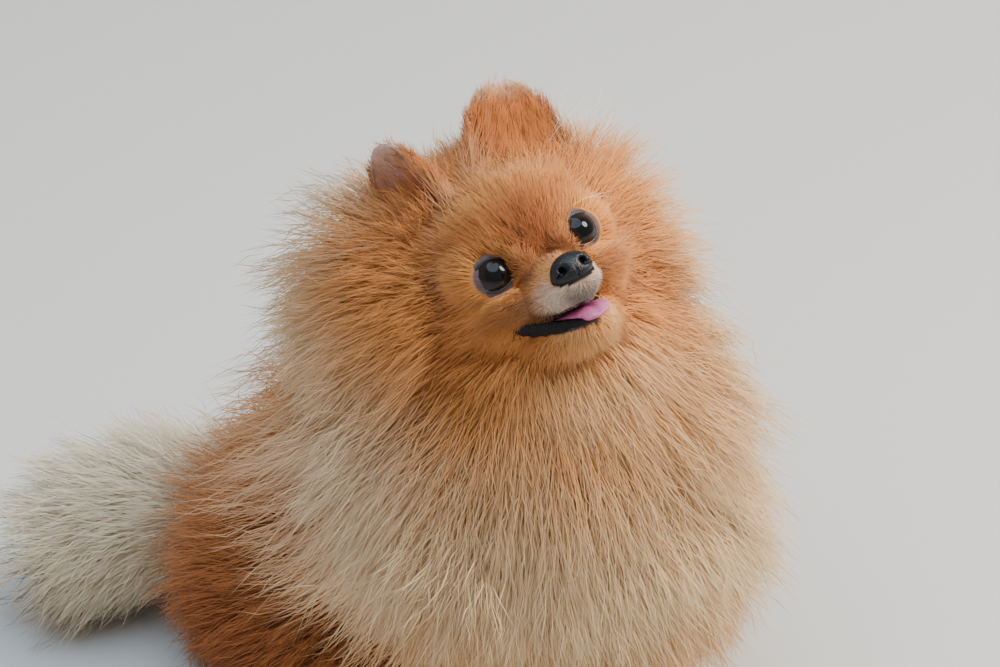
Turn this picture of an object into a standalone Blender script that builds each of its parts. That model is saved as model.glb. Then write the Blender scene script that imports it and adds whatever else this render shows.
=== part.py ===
"""A sitting pomeranian at life size, as a still model. Metres, +Z up, the dog's chest faces -Y.

The trunk, limbs and tail are lofts of round sections. Each section has the size of the bare body and
the depth of the coat over it. A node is the coat's soft core, parted from its neighbours along the lie
of the coat, with flat, tapered locks rooted in it that reach out to the tips.
"""

import math
import random

import bmesh
import bpy
import numpy as np
from mathutils import Matrix, Vector
from mathutils.bvhtree import BVHTree

# Driving sizes
GAP = 0.00035  # between two nodes that touch
CORE_SHARE = 0.46  # the coat's soft core, as a share of its depth
SEED = 11
LOCK_THICKNESS = 0.22  # of its width
LOCK_RINGS = ((0.0, 0.75), (0.42, 1.0), (0.76, 0.66))  # how far along, share of the width

# The head looks up and round to the dog's right, tipped to its right
HEAD_CENTRE = Vector((0.0003, -0.0360, 0.2190))
LOOK = Vector((-0.507, -0.620, 0.598)).normalized()
CROWN = Vector((0.121, 0.636, 0.762))
HEAD_LEFT = CROWN.cross(LOOK).normalized()
HEAD_UP = LOOK.cross(HEAD_LEFT).normalized()
HEAD_FRAME = Matrix((HEAD_LEFT, -LOOK, HEAD_UP)).transposed().to_4x4()
HEAD_FRAME.translation = HEAD_CENTRE

# Sections of the bare body: centre x, y, z, half width, half depth, coat
TRUNK = (
    (0.000, 0.098, 0.034, 0.016, 0.016, 0.022),
    (0.000, 0.080, 0.042, 0.030, 0.030, 0.026),
    (0.000, 0.054, 0.056, 0.036, 0.037, 0.030),
    (0.000, 0.026, 0.084, 0.040, 0.042, 0.036),
    (0.000, -0.004, 0.120, 0.044, 0.047, 0.048),
    (0.000, -0.036, 0.156, 0.043, 0.045, 0.068),
    (0.002, -0.042, 0.186, 0.038, 0.040, 0.067),
    (0.006, -0.030, 0.206, 0.030, 0.032, 0.054),
)
NAPE = (
    (0.000, -0.010, 0.178, 0.034, 0.034, 0.056),
    (-0.004, 0.010, 0.200, 0.028, 0.028, 0.046),
    (-0.006, 0.020, 0.212, 0.018, 0.018, 0.036),
)
BIB = (
    (0.000, -0.040, 0.150, 0.040, 0.040, 0.062),
    (0.000, -0.056, 0.112, 0.038, 0.034, 0.060),
    (0.000, -0.062, 0.082, 0.032, 0.028, 0.052),
    (0.000, -0.062, 0.060, 0.020, 0.018, 0.034),
)
THIGH = (
    (0.022, 0.082, 0.060, 0.024, 0.026, 0.020),
    (0.038, 0.066, 0.052, 0.027, 0.032, 0.026),
    (0.050, 0.042, 0.044, 0.021, 0.026, 0.022),
    (0.053, 0.026, 0.036, 0.013, 0.016, 0.016),
)
SHIN = (
    (0.052, 0.032, 0.036, 0.012, 0.014, 0.012),
    (0.051, 0.064, 0.025, 0.010, 0.012, 0.010),
    (0.051, 0.096, 0.015, 0.009, 0.010, 0.008),
)
HIND_FOOT = (
    (0.051, 0.098, 0.012, 0.008, 0.008, 0.005),
    (0.053, 0.066, 0.010, 0.009, 0.007, 0.005),
    (0.056, 0.032, 0.010, 0.011, 0.007, 0.004),
    (0.058, 0.012, 0.009, 0.011, 0.007, 0.003),
)
FORELEG = (
    (0.034, -0.036, 0.104, 0.018, 0.021, 0.022),
    (0.034, -0.040, 0.078, 0.014, 0.016, 0.018),
    (0.033, -0.052, 0.050, 0.011, 0.012, 0.010),
    (0.032, -0.062, 0.027, 0.010, 0.010, 0.005),
    (0.032, -0.073, 0.012, 0.011, 0.009, 0.004),
    (0.032, -0.085, 0.0085, 0.011, 0.008, 0.003),
)
TAIL = (
    (0.000, 0.094, 0.044, 0.009, 0.009, 0.020),
    (-0.004, 0.122, 0.049, 0.008, 0.008, 0.038),
    (-0.016, 0.146, 0.048, 0.007, 0.007, 0.046),
    (-0.030, 0.162, 0.044, 0.006, 0.006, 0.048),
    (-0.040, 0.171, 0.040, 0.005, 0.005, 0.042),
    (-0.047, 0.177, 0.037, 0.003, 0.003, 0.032),
)

# The head, in its own frame: x to its left, y back, z up. Centre, then half sizes
SKULL = (
    ((0.000, 0.006, 0.000), (0.033, 0.036, 0.029)),
    ((0.000, -0.016, 0.011), (0.026, 0.019, 0.019)),
    ((0.019, -0.009, -0.011), (0.016, 0.024, 0.017)),
    ((0.010, -0.028, 0.004), (0.009, 0.008, 0.008)),
    ((0.0195, -0.0175, 0.0045), (0.0155, 0.0130, 0.0140)),
)
CHEEK_COAT = (
    ((0.000, 0.016, 0.006), (0.052, 0.032, 0.044)),
    ((0.000, 0.004, -0.004), (0.044, 0.028, 0.038)),
    ((0.000, 0.011, -0.040), (0.038, 0.026, 0.024)),
)
RUFF_CENTRE = (0.010, 0.028, 0.004)
RUFF_BARE = (0.034, 0.022, 0.032)
RUFF_COAT = (0.054, 0.026, 0.036)
MUZZLE = (
    (0.000, -0.018, -0.011, 0.020, 0.017),
    (0.000, -0.034, -0.012, 0.0150, 0.0130),
    (0.000, -0.046, -0.013, 0.0122, 0.0108),
    (0.000, -0.053, -0.0133, 0.0102, 0.0092),
)
CHIN = (
    (0.000, 0.004, -0.026, 0.020, 0.012),
    (0.000, -0.018, -0.029, 0.0170, 0.0105),
    (0.000, -0.034, -0.0310, 0.0112, 0.0078),
    (0.000, -0.042, -0.0315, 0.0084, 0.0060),
)
EYE_RADIUS = 0.0095
EYE_PLACE = Vector((0.0197, -0.0230, 0.0045))
EYE_TURN = math.radians(14)  # each eye looks outwards by this
LID = 0.0015
LID_OPENING = (0.0104, 0.0094)  # half width, half height, at the cutter's rim
MOUTH_CORNER = (-0.0180, -0.0212)  # y, z in the head's frame
LIP_DROP = 0.0020  # the upper lip's fall over the mouth's reach
JAW_DROP = 0.0200  # the lower lip's fall over it
MOUTH_REACH = 0.060  # from the corner to past the muzzle's tip
JAW_BOTTOM = -0.0450
LIP_FOCUS = -0.030  # y that the lips curve round
LIP_SWEEP = math.radians(112)
LIP_POINTS = 17
UPPER_LIP = 0.0014  # radius of the roll along the lip
LOWER_LIP = 0.0020
NOSE_CENTRE = Vector((0.0, -0.0562, -0.0085))
NOSE_HALF = Vector((0.0092, 0.0065, 0.0064))
NOSTRIL = ((0.0040, -0.0056, -0.0002), (0.0018, 0.0034, 0.0021))  # from the nose's centre, half sizes
NOSTRIL_SLIT = ((0.0068, -0.0044, -0.0026), (0.0028, 0.0026, 0.0008))
NOSE_GROOVE = ((0.0, -0.0060, -0.0042), (0.0006, 0.0022, 0.0034))
TONGUE = (  # centre x, y, z, half width, half thickness
    (0.000, -0.0250, -0.0232, 0.0080, 0.0013),
    (0.000, -0.0370, -0.0262, 0.0086, 0.0018),
    (0.001, -0.0470, -0.0280, 0.0084, 0.0020),
    (0.002, -0.0530, -0.0305, 0.0074, 0.0018),
    (0.002, -0.0562, -0.0335, 0.0058, 0.0015),
)
HEAD_VOXEL = 0.0016
HEAD_TRIANGLES = 1300
EAR_BASE = {1: Vector((0.0210, 0.010, 0.024)), -1: Vector((-0.0270, 0.014, 0.022))}
EAR_LEAN = {1: math.radians(14), -1: math.radians(-2)}
EAR_TURN = {1: math.radians(14), -1: math.radians(-72)}  # the right ear is turned out and back
EAR_CUP = {1: 0.55, -1: 0.85}  # how deep the ear is hollowed, as a share of its own depth
EAR_HEIGHT = 0.055
EAR_HALF_WIDTH = 0.0262
EAR_DEPTH = 0.0135
EAR_WALL = 0.0026
EAR_LEVELS = (0.0, 0.22, 0.44, 0.64, 0.80, 0.92, 0.985)  # of its height

# The feet
PAW_HEIGHT = 0.0055  # of the toes' centres
TOE_STEP = 0.0054
TOE_HALF = (0.0034, 0.0065, 0.0058)
CLAW = ((0.0, 0.0), (0.0013, 0.0), (0.0006, 0.0045), (0.0, 0.0062))  # radius, way along
CLAW_LEAD = Vector((0.0, -1.0, -0.42))
CLAW_ROOT = Vector((0.0, -0.0048, -0.0006))  # from the toe's centre

# The locks: spacing of their roots, width, rise and fall in degrees, depth of the root in the core
LOCKS = {
    "neck": (0.0235, 0.026, 58, 16, 0.012),
    "torso": (0.0300, 0.029, 44, 10, 0.012),
    "foreleg": (0.0210, 0.015, 40, 14, 0.006),
    "hindleg": (0.0275, 0.026, 48, 12, 0.010),
    "tail": (0.0195, 0.027, 66, 34, 0.012),
    "cheeks": (0.0185, 0.020, 34, 20, 0.006),
}
ROOT_TRIES = 6000  # random places tried for each node's roots
CHEEK_LENGTH = 0.036  # depth of the fluff beside the face
THROAT_LENGTH = 0.050  # and below it

COLOURS = {  # base colour, roughness
    "coat_orange": ((0.62, 0.30, 0.11, 1), 0.85),
    "coat_cream": ((0.80, 0.62, 0.42, 1), 0.85),
    "coat_red": ((0.40, 0.16, 0.06, 1), 0.85),
    "nose_black": ((0.02, 0.02, 0.025, 1), 0.35),
    "eye_black": ((0.012, 0.008, 0.006, 1), 0.05),
    "tongue_pink": ((0.72, 0.28, 0.34, 1), 0.35),
}


class Flare:
    """A node's territory: all beyond a disc square to an axis, whose rim runs on as a cone."""

    def __init__(self, origin, axis, flat_radius, slope, reach=0.30, far=0.30):
        self.origin = Vector(origin)
        self.axis = Vector(axis).normalized()
        self.flat_radius = flat_radius
        self.slope = slope
        self.reach = reach
        self.far = far

    def edge(self, radius):
        """How far along the axis the territory begins, at this distance from the axis."""
        return self.slope * max(0.0, radius - self.flat_radius)

    def depth(self, point):
        """How far inside the territory a point lies, measured along the axis."""
        offset = point - self.origin
        along = offset.dot(self.axis)
        return along - self.edge((offset - self.axis * along).length)

    def solid(self, shift=0.0, steps=28):
        """The territory as a closed cutter, moved by shift along its axis."""
        rim = self.edge(self.reach)
        profile = (
            (0.0, shift),
            (self.flat_radius, shift),
            (self.reach, rim + shift),
            (self.reach, self.far),
            (0.0, self.far),
        )
        cutter = turned(profile, steps)
        cutter.data.transform(self.axis.to_track_quat("Z", "X").to_matrix().to_4x4())
        cutter.data.transform(Matrix.Translation(self.origin))
        return cutter


def clear_scene():
    """Removes every object, so that only the model is in the scene."""
    for obj in list(bpy.data.objects):
        bpy.data.objects.remove(obj)


def material(slot):
    """A Principled BSDF of the slot's colour and roughness."""
    made = bpy.data.materials.get(slot)
    if made is None:
        made = bpy.data.materials.new(slot)
        made.use_nodes = True
        shader = made.node_tree.nodes["Principled BSDF"]
        colour, roughness = COLOURS[slot]
        shader.inputs["Base Color"].default_value = colour
        shader.inputs["Roughness"].default_value = roughness
    return made


def object_of(work, name="piece"):
    """A new object from a bmesh, with its faces turned outwards. It isn't linked to the scene."""
    bmesh.ops.recalc_face_normals(work, faces=work.faces)
    mesh = bpy.data.meshes.new(name)
    work.to_mesh(mesh)
    work.free()
    return bpy.data.objects.new(name, mesh)


def settled(obj):
    """The object's mesh with its modifiers applied. The object may be outside the scene until now."""
    bpy.context.scene.collection.objects.link(obj)
    bpy.context.view_layer.update()
    graph = bpy.context.evaluated_depsgraph_get()
    mesh = bpy.data.meshes.new_from_object(obj.evaluated_get(graph))
    obj.modifiers.clear()
    obj.data = mesh
    bpy.context.scene.collection.objects.unlink(obj)
    return obj


def turned(profile, steps):
    """A closed turned solid from a profile of (radius, height) points, by a Screw modifier."""
    work = bmesh.new()
    points = [work.verts.new((radius, 0.0, height)) for radius, height in profile]
    for first, second in zip(points, points[1:]):
        work.edges.new((first, second))
    mesh = bpy.data.meshes.new("turned")
    work.to_mesh(mesh)
    work.free()
    obj = bpy.data.objects.new("turned", mesh)
    screw = obj.modifiers.new("screw", "SCREW")
    screw.steps = screw.render_steps = steps
    screw.use_merge_vertices = True
    screw.merge_threshold = 0.00001
    settled(obj)
    return faced_out(obj)


def faced_out(obj):
    """Turns every face outwards."""
    work = bmesh.new()
    work.from_mesh(obj.data)
    bmesh.ops.recalc_face_normals(work, faces=work.faces)
    if work.calc_volume(signed=True) < 0:
        bmesh.ops.reverse_faces(work, faces=work.faces)
    work.to_mesh(obj.data)
    work.free()
    return obj


def ellipsoid(centre, half, segments=16, rings=10):
    """A closed ball with three half sizes."""
    work = bmesh.new()
    bmesh.ops.create_uvsphere(work, u_segments=segments, v_segments=rings, radius=1.0)
    bmesh.ops.scale(work, verts=work.verts, vec=half)
    bmesh.ops.translate(work, verts=work.verts, vec=centre)
    return object_of(work)


def through(values, count):
    """Points on a smooth curve through the rows of values, count of them between each two rows."""
    rows = np.asarray(values, float)
    padded = np.vstack((2 * rows[0] - rows[1], rows, 2 * rows[-1] - rows[-2]))
    made = []
    for i in range(1, len(rows)):
        before, start, end, after = padded[i - 1 : i + 3]
        for t in np.linspace(0, 1, count, endpoint=False):
            made.append(
                0.5
                * (
                    2 * start
                    + (end - before) * t
                    + (2 * before - 5 * start + 4 * end - after) * t**2
                    + (3 * start - before - 3 * end + after) * t**3
                )
            )
    made.append(rows[-1])
    return np.array(made)


def loft(sections, share, sides=12, between=1, across=(1, 0, 0), side=1):
    """A closed tube through the sections. share says how much of the coat its surface takes in."""
    rows = through(sections, between)
    centres = rows[:, :3] * (side, 1, 1)
    coat = rows[:, 5:6] * share if rows.shape[1] > 5 else 0
    halves = rows[:, 3:5] + coat
    ahead = np.gradient(centres, axis=0)
    ahead /= np.linalg.norm(ahead, axis=1)[:, None]
    # Each end is rounded by a smaller ring and a pole
    cap = 0.72
    drop = halves.min(axis=1)
    first = centres[0] - ahead[0] * drop[0] * cap
    last = centres[-1] + ahead[-1] * drop[-1] * cap
    poles = (centres[0] - ahead[0] * drop[0], centres[-1] + ahead[-1] * drop[-1])
    centres = np.vstack((first, centres, last))
    halves = np.vstack((halves[0] * 0.66, halves, halves[-1] * 0.66))
    ahead = np.vstack((ahead[0], ahead, ahead[-1]))
    work = bmesh.new()
    rings = []
    for centre, (half_width, half_depth), tangent in zip(centres, halves, ahead):
        wide = np.array(across) - tangent * np.dot(across, tangent)
        wide /= np.linalg.norm(wide)
        deep = np.cross(tangent, wide)
        ring = []
        for k in range(sides):
            turn = 2 * math.pi * k / sides
            point = centre + wide * half_width * math.cos(turn) + deep * half_depth * math.sin(turn)
            ring.append(work.verts.new(point))
        rings.append(ring)
    for ring, following in zip(rings, rings[1:]):
        for k in range(sides):
            j = (k + 1) % sides
            work.faces.new((ring[k], ring[j], following[j], following[k]))
    for ring, pole in ((rings[0], poles[0]), (rings[-1], poles[1])):
        tip = work.verts.new(pole)
        for k in range(sides):
            work.faces.new((ring[k], ring[(k + 1) % sides], tip))
    return object_of(work)


def boolean(obj, operation, others, solver="MANIFOLD"):
    """Applies one Boolean of the object with a list of closed meshes, which are then removed."""
    others = list(others)
    if not others:
        return obj
    cutters = bpy.data.collections.new("cutters")
    bpy.context.scene.collection.children.link(cutters)
    for other in others:
        cutters.objects.link(other)
    step = obj.modifiers.new("join", "BOOLEAN")
    step.operation = operation
    step.operand_type = "COLLECTION"
    step.collection = cutters
    step.solver = solver
    settled(obj)
    for other in others:
        bpy.data.objects.remove(other)
    bpy.data.collections.remove(cutters)
    return obj


def largest_body(obj):
    """Keeps the mesh's largest closed surface and drops the rest."""
    work = bmesh.new()
    work.from_mesh(obj.data)
    left = set(work.verts)
    groups = []
    while left:
        group = []
        pending = [left.pop()]
        while pending:
            vertex = pending.pop()
            group.append(vertex)
            for edge in vertex.link_edges:
                other = edge.other_vert(vertex)
                if other in left:
                    left.remove(other)
                    pending.append(other)
        groups.append(group)
    groups.sort(key=len)
    for group in groups[:-1]:
        bmesh.ops.delete(work, geom=group, context="VERTS")
    work.to_mesh(obj.data)
    work.free()
    return obj


def fused(pieces, voxel, smoothing, triangles):
    """One soft form from overlapping pieces: a voxel remesh, smoothed and thinned."""
    whole = boolean(pieces[0], "UNION", pieces[1:])
    remesh = whole.modifiers.new("remesh", "REMESH")
    remesh.mode = "VOXEL"
    remesh.voxel_size = voxel
    smooth = whole.modifiers.new("smooth", "SMOOTH")
    smooth.iterations = smoothing
    settled(whole)
    count = sum(len(face.vertices) - 2 for face in whole.data.polygons)
    thin = whole.modifiers.new("thin", "DECIMATE")
    thin.ratio = min(1.0, triangles / count)
    return settled(whole)


def floor_cutter():
    """Everything below the soles' flats."""
    work = bmesh.new()
    bmesh.ops.create_cube(work, size=1.0)
    bmesh.ops.translate(work, verts=work.verts, vec=(0, 0, -0.5))
    return object_of(work)


def prism(profile, half_width):
    """A block with a (y, z) outline, as wide as half_width to each side, in the head's frame."""
    work = bmesh.new()
    left = [work.verts.new((half_width, y, z)) for y, z in profile]
    right = [work.verts.new((-half_width, y, z)) for y, z in profile]
    work.faces.new(left)
    work.faces.new(right[::-1])
    for k in range(len(profile)):
        j = (k + 1) % len(profile)
        work.faces.new((left[k], left[j], right[j], right[k]))
    return object_of(work)


def lock(root, normal, flow, size):
    """A flat, tapered lock of hair. It rises from its root and bends over along the coat's lie."""
    length, width, rise, fall, sink = size
    start = normal * math.sin(rise) + flow * math.cos(rise)
    end = normal * math.sin(fall) + flow * math.cos(fall)
    side = flow.cross(normal).normalized()
    foot = root - start * sink
    work = bmesh.new()
    rings = []
    for t, share in LOCK_RINGS:
        centre = foot + (length + sink) * (start * (t - t * t / 2) + end * (t * t / 2))
        ahead = (start * (1 - t) + end * t).normalized()
        up = side.cross(ahead).normalized()
        if up.dot(normal) < 0:
            up = -up
        half = side * (width * share / 2)
        ridge = up * (width * share * LOCK_THICKNESS)
        rings.append([work.verts.new(point) for point in (centre + half, centre + ridge, centre - half)])
    tip = work.verts.new(foot + (length + sink) * (start + end) / 2)
    for ring, following in zip(rings, rings[1:]):
        for k in range(3):
            j = (k + 1) % 3
            work.faces.new((ring[k], ring[j], following[j]))
            work.faces.new((ring[k], following[j], following[k]))
    for k in range(3):
        work.faces.new((rings[-1][k], rings[-1][(k + 1) % 3], tip))
    work.faces.new(rings[0][::-1])
    return object_of(work)


def spread(obj, spacing, seed, wanted):
    """Points spread evenly over the mesh, as (place, normal), where wanted(place, normal) says so."""
    rng = np.random.default_rng(seed)
    obj.data.calc_loop_triangles()
    corners = np.array([[obj.data.vertices[i].co for i in t.vertices] for t in obj.data.loop_triangles])
    # The triangles are put in order by place, so that the same form always gets the same roots
    first = corners[:, :, 0].argmin(axis=1)
    turn = (first[:, None] + np.arange(3)) % 3
    corners = corners[np.arange(len(corners))[:, None], turn]
    corners = corners[np.lexsort(corners.mean(axis=1).round(6).T)]
    cross = np.cross(corners[:, 1] - corners[:, 0], corners[:, 2] - corners[:, 0])
    area = np.linalg.norm(cross, axis=1)
    picked = rng.choice(len(area), size=ROOT_TRIES, p=area / area.sum())
    u = np.sqrt(rng.random(ROOT_TRIES))
    v = rng.random(ROOT_TRIES)
    weights = np.stack((1 - u, u * (1 - v), u * v), axis=1)
    places = (corners[picked] * weights[:, :, None]).sum(axis=1)
    normals = cross[picked] / area[picked, None]
    kept = []
    for place, normal in zip(places, normals):
        place = Vector(place)
        normal = Vector(normal)
        if not wanted(place, normal):
            continue
        if all((place - other).length > spacing for other, _ in kept):
            kept.append((place, normal))
    return kept


def in_head(obj):
    """Moves a piece made in the head's own frame to its place."""
    obj.data.transform(HEAD_FRAME)
    return obj


def node(obj, name, slot):
    """Names a finished piece as a node of the model."""
    obj.name = name
    obj.data.name = name
    obj.data.materials.clear()
    obj.data.materials.append(material(slot))
    obj.data.shade_smooth()
    obj.data.set_sharp_from_angle(angle=math.radians(50))
    MODEL.objects.link(obj)
    return obj


def along_skin(direction, normal):
    """The part of a direction that runs along the surface."""
    flat = direction - normal * direction.dot(normal)
    return flat.normalized()


def coat_depth(place, sections=TRUNK):
    """The coat's depth near a place, blended from the nearest sections."""
    total = 0.0
    blended = 0.0
    for x, y, z, _, _, coat in sections:
        weight = math.exp(-((place - Vector((x, y, z))).length_squared) / 0.0016)
        total += weight
        blended += weight * coat
    return blended / total


def coat_of_locks(form, kind, wanted, flow, depth):
    """Locks of one kind on a form, rooted where wanted(place, normal) says so. flow(place) is the lie of
    the coat and depth(place) its depth."""
    spacing, width, rise, fall, sink = LOCKS[kind]
    seed = SEED + list(LOCKS).index(kind)
    rng = random.Random(seed)
    made = []
    for place, normal in spread(form, spacing, seed, wanted):
        lift = math.radians(rise + rng.uniform(-7, 7))
        droop = math.radians(fall + rng.uniform(-8, 8))
        stray = Vector((rng.uniform(-1, 1), rng.uniform(-1, 1), rng.uniform(-1, 1))) * 0.18
        lie = along_skin(flow(place).normalized() + stray, normal)
        reach = depth(place) * (1 - CORE_SHARE) * 2 / (math.sin(lift) + math.sin(droop))
        size = (reach * rng.uniform(0.92, 1.08), width * rng.uniform(0.85, 1.15), lift, droop, sink)
        made.append(lock(place, normal, lie, size))
    return made


# Where each node's territory begins
NECK_LAND = Flare((0.0, -0.006, 0.136), (0.0, -0.72, 0.69), 0.060, -0.85)
HEAD_LAND = Flare(HEAD_CENTRE - LOOK * 0.014, LOOK + HEAD_UP * 0.35, 0.047, 0.5)
TAIL_LAND = Flare((0.0, 0.106, 0.046), (-0.12, 0.95, 0.16), 0.013, 0.80)


def thigh_land(side):
    """Where a thigh's coat begins on the haunch."""
    return Flare((side * 0.034, 0.056, 0.045), (side, 0.0, -0.18), 0.046, 1.15, reach=0.13, far=0.14)


def foreleg_land(side):
    """Where a foreleg leaves the bib."""
    return Flare((side * 0.034, -0.040, 0.082), (0.0, -0.20, -1.0), 0.022, 3.0, reach=0.055, far=0.13)


def mane_flow(place):
    """The mane spreads away from the face and hangs."""
    return (place - (HEAD_CENTRE + LOOK * 0.035)).normalized() + Vector((0, 0, -0.50))


def trunk_flow(place):
    """The coat of the back lies backwards, outwards and down."""
    return Vector((place.x * 4, 1.0, -0.55))


def neck():
    """The mane, the bib and the ruff behind the head."""
    core = loft(TRUNK, CORE_SHARE, sides=18, between=2)
    ruff = in_head(ellipsoid(RUFF_CENTRE, Vector(RUFF_BARE) + CORE_SHARE * Vector(RUFF_COAT)))
    boolean(core, "UNION", [loft(BIB, CORE_SHARE, sides=14), loft(NAPE, CORE_SHARE, sides=14), ruff])

    def wanted(place, normal):
        ears = HEAD_FRAME.inverted() @ place
        beside_ears = ears.z > 0.034 and ears.y < 0.026 and abs(ears.x) < 0.050
        return NECK_LAND.depth(place) > 0.004 and HEAD_LAND.depth(place) < -0.004 and not beside_ears

    locks = coat_of_locks(core, "neck", wanted, mane_flow, lambda p: coat_depth(p, TRUNK + BIB + NAPE))
    boolean(core, "UNION", locks)
    boolean(core, "INTERSECT", [NECK_LAND.solid()])
    boolean(core, "DIFFERENCE", [HEAD_LAND.solid(-GAP)])
    for side in (1, -1):
        boolean(core, "DIFFERENCE", [foreleg_land(side).solid(-GAP)])
        boolean(core, "DIFFERENCE", [ear_form(side, GAP, 0.0)])
    boolean(core, "DIFFERENCE", [floor_cutter()])
    return node(largest_body(core), "neck", "coat_orange")


def torso():
    """The trunk behind the mane, cut clear of the legs and the tail."""
    core = loft(TRUNK, CORE_SHARE, sides=18, between=2)

    def wanted(place, normal):
        clear = NECK_LAND.depth(place) < -0.002 and TAIL_LAND.depth(place) < -0.004
        side = 1 if place.x > 0 else -1
        return clear and thigh_land(side).depth(place) < -0.004 and foreleg_land(side).depth(place) < -0.006

    boolean(core, "UNION", coat_of_locks(core, "torso", wanted, trunk_flow, coat_depth))
    boolean(core, "DIFFERENCE", [NECK_LAND.solid(-GAP)])
    boolean(core, "DIFFERENCE", [TAIL_LAND.solid(-GAP)])
    for side in (1, -1):
        boolean(core, "DIFFERENCE", [thigh_land(side).solid(-GAP)])
        boolean(core, "DIFFERENCE", [foreleg_land(side).solid(-GAP)])
        boolean(core, "DIFFERENCE", [loft(SHIN, 1.05, side=side, sides=12)])
        boolean(core, "DIFFERENCE", [loft(HIND_FOOT, 1.15, side=side, sides=12)])
    boolean(core, "DIFFERENCE", [floor_cutter()])
    return node(largest_body(core), "torso", "coat_red")


def toes(sections, side):
    """Four toes and their claws at the front of a foot. The two in the middle lie further forward."""
    x, y = sections[-1][:2]
    made = []
    for k in (-1.5, -0.5, 0.5, 1.5):
        place = Vector((side * x + k * TOE_STEP, y - 0.0045 + 0.0016 * k**2, PAW_HEIGHT))
        made.append(ellipsoid(place, TOE_HALF, segments=6, rings=5))
        claw = turned(CLAW, 5)
        claw.data.transform(CLAW_LEAD.to_track_quat("Z", "X").to_matrix().to_4x4())
        claw.data.transform(Matrix.Translation(place + CLAW_ROOT))
        made.append(claw)
    return made


def on_side(sections, side):
    """The sections on the left side, 1, or mirrored to the right, -1."""
    return [(side * section[0], *section[1:]) for section in sections]


def foreleg(side, name):
    """A foreleg from the bib's edge down, feathered behind, with its paw."""
    core = loft(FORELEG, 0.60, side=side)
    locks = coat_of_locks(
        core,
        "foreleg",
        lambda p, n: 0.022 < p.z < 0.074 and n.y > -0.3,
        lambda p: Vector((0, 0.35, -1.0)),
        lambda p: coat_depth(p, on_side(FORELEG, side)) * 1.3,
    )
    boolean(core, "UNION", locks + toes(FORELEG, side))
    boolean(core, "INTERSECT", [foreleg_land(side).solid()])
    boolean(core, "DIFFERENCE", [floor_cutter()])
    return node(largest_body(core), name, "coat_cream")


def hindleg(side, name):
    """A folded hind leg: the thigh with its locks, and the shin and foot under it."""
    thigh = loft(THIGH, CORE_SHARE, sides=14, side=side)
    land = thigh_land(side)
    locks = coat_of_locks(
        thigh,
        "hindleg",
        lambda p, n: land.depth(p) > 0.003 and p.z > 0.012,
        lambda p: Vector((0, 0.9, -0.75)),
        lambda p: coat_depth(p, on_side(THIGH, side)),
    )
    boolean(thigh, "UNION", locks)
    boolean(thigh, "INTERSECT", [land.solid()])
    largest_body(thigh)
    lower = [loft(SHIN, 0.85, side=side, sides=10), loft(HIND_FOOT, 0.9, side=side, sides=10)]
    boolean(thigh, "UNION", lower + toes(HIND_FOOT, side))
    boolean(thigh, "DIFFERENCE", [floor_cutter()])
    return node(largest_body(thigh), name, "coat_red")


def tail():
    """The plume behind the dog, cut clear of the thighs and the hocks."""
    core = loft(TAIL, CORE_SHARE * 0.8)
    path = through([s[:3] for s in TAIL], 3)

    def flow(place):
        nearest = int(np.argmin(np.linalg.norm(path - np.array(place), axis=1)))
        ahead = path[min(nearest + 1, len(path) - 1)] - path[max(nearest - 1, 0)]
        return Vector(ahead).normalized() + Vector((0, 0, -0.1))

    def wanted(place, normal):
        return TAIL_LAND.depth(place) > 0.002

    locks = coat_of_locks(core, "tail", wanted, flow, lambda p: coat_depth(p, TAIL) * 1.08)
    boolean(core, "UNION", locks)
    boolean(core, "INTERSECT", [TAIL_LAND.solid()])
    for side in (1, -1):
        envelope = loft(THIGH, 1.0, sides=16, side=side)
        boolean(core, "DIFFERENCE", [envelope])
        boolean(core, "DIFFERENCE", [loft(HIND_FOOT, 1.2, side=side, sides=12)])
    boolean(core, "DIFFERENCE", [floor_cutter()])
    return node(largest_body(core), "tail", "coat_cream")


def mirrored(centre):
    """The same place on the other side of the head."""
    return Vector((-centre[0], centre[1], centre[2]))


def eye_axis(side):
    """The way that an eye looks, in the head's frame."""
    return Vector((side * math.sin(EYE_TURN), -math.cos(EYE_TURN), 0.03)).normalized()


def head_form():
    """The whole head with its jaw, before the mouth is cut, in the head's own frame."""
    pieces = []
    for centre, half in SKULL + CHEEK_COAT:
        pieces.append(ellipsoid(centre, half))
        if centre[0]:
            pieces.append(ellipsoid(mirrored(centre), half))
    pieces.append(loft(MUZZLE, 0, sides=20, between=2))
    pieces.append(loft(CHIN, 0, sides=20, between=2))
    return fused(pieces, HEAD_VOXEL, 6, HEAD_TRIANGLES)


def mouth_block(drop, gap):
    """The jaw's room, under a lip line that falls by drop from the mouth's corner forwards."""
    back, height = MOUTH_CORNER
    back -= gap
    front = back - MOUTH_REACH
    bottom = JAW_BOTTOM + gap
    outline = ((back, height - gap), (front, height - gap - drop), (front, bottom), (back, bottom))
    return prism(outline, 0.05)


def cheek_locks(form):
    """Locks round the face, which sweep out and back to meet the mane."""

    def wanted(place, normal):
        beside_ears = place.z > 0.012 and abs(place.x) < 0.046
        below_chin = place.z < -0.046 and place.y > -0.022
        beside_face = place.y > -0.014 and math.hypot(place.x, place.z) > 0.036
        return (below_chin or beside_face) and not beside_ears

    def under(place):
        return place.z < -0.034

    return coat_of_locks(
        form,
        "cheeks",
        wanted,
        lambda p: Vector((p.x, -0.022 if under(p) else 0.010, p.z - 0.006)),
        lambda p: THROAT_LENGTH if under(p) else CHEEK_LENGTH,
    )


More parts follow.
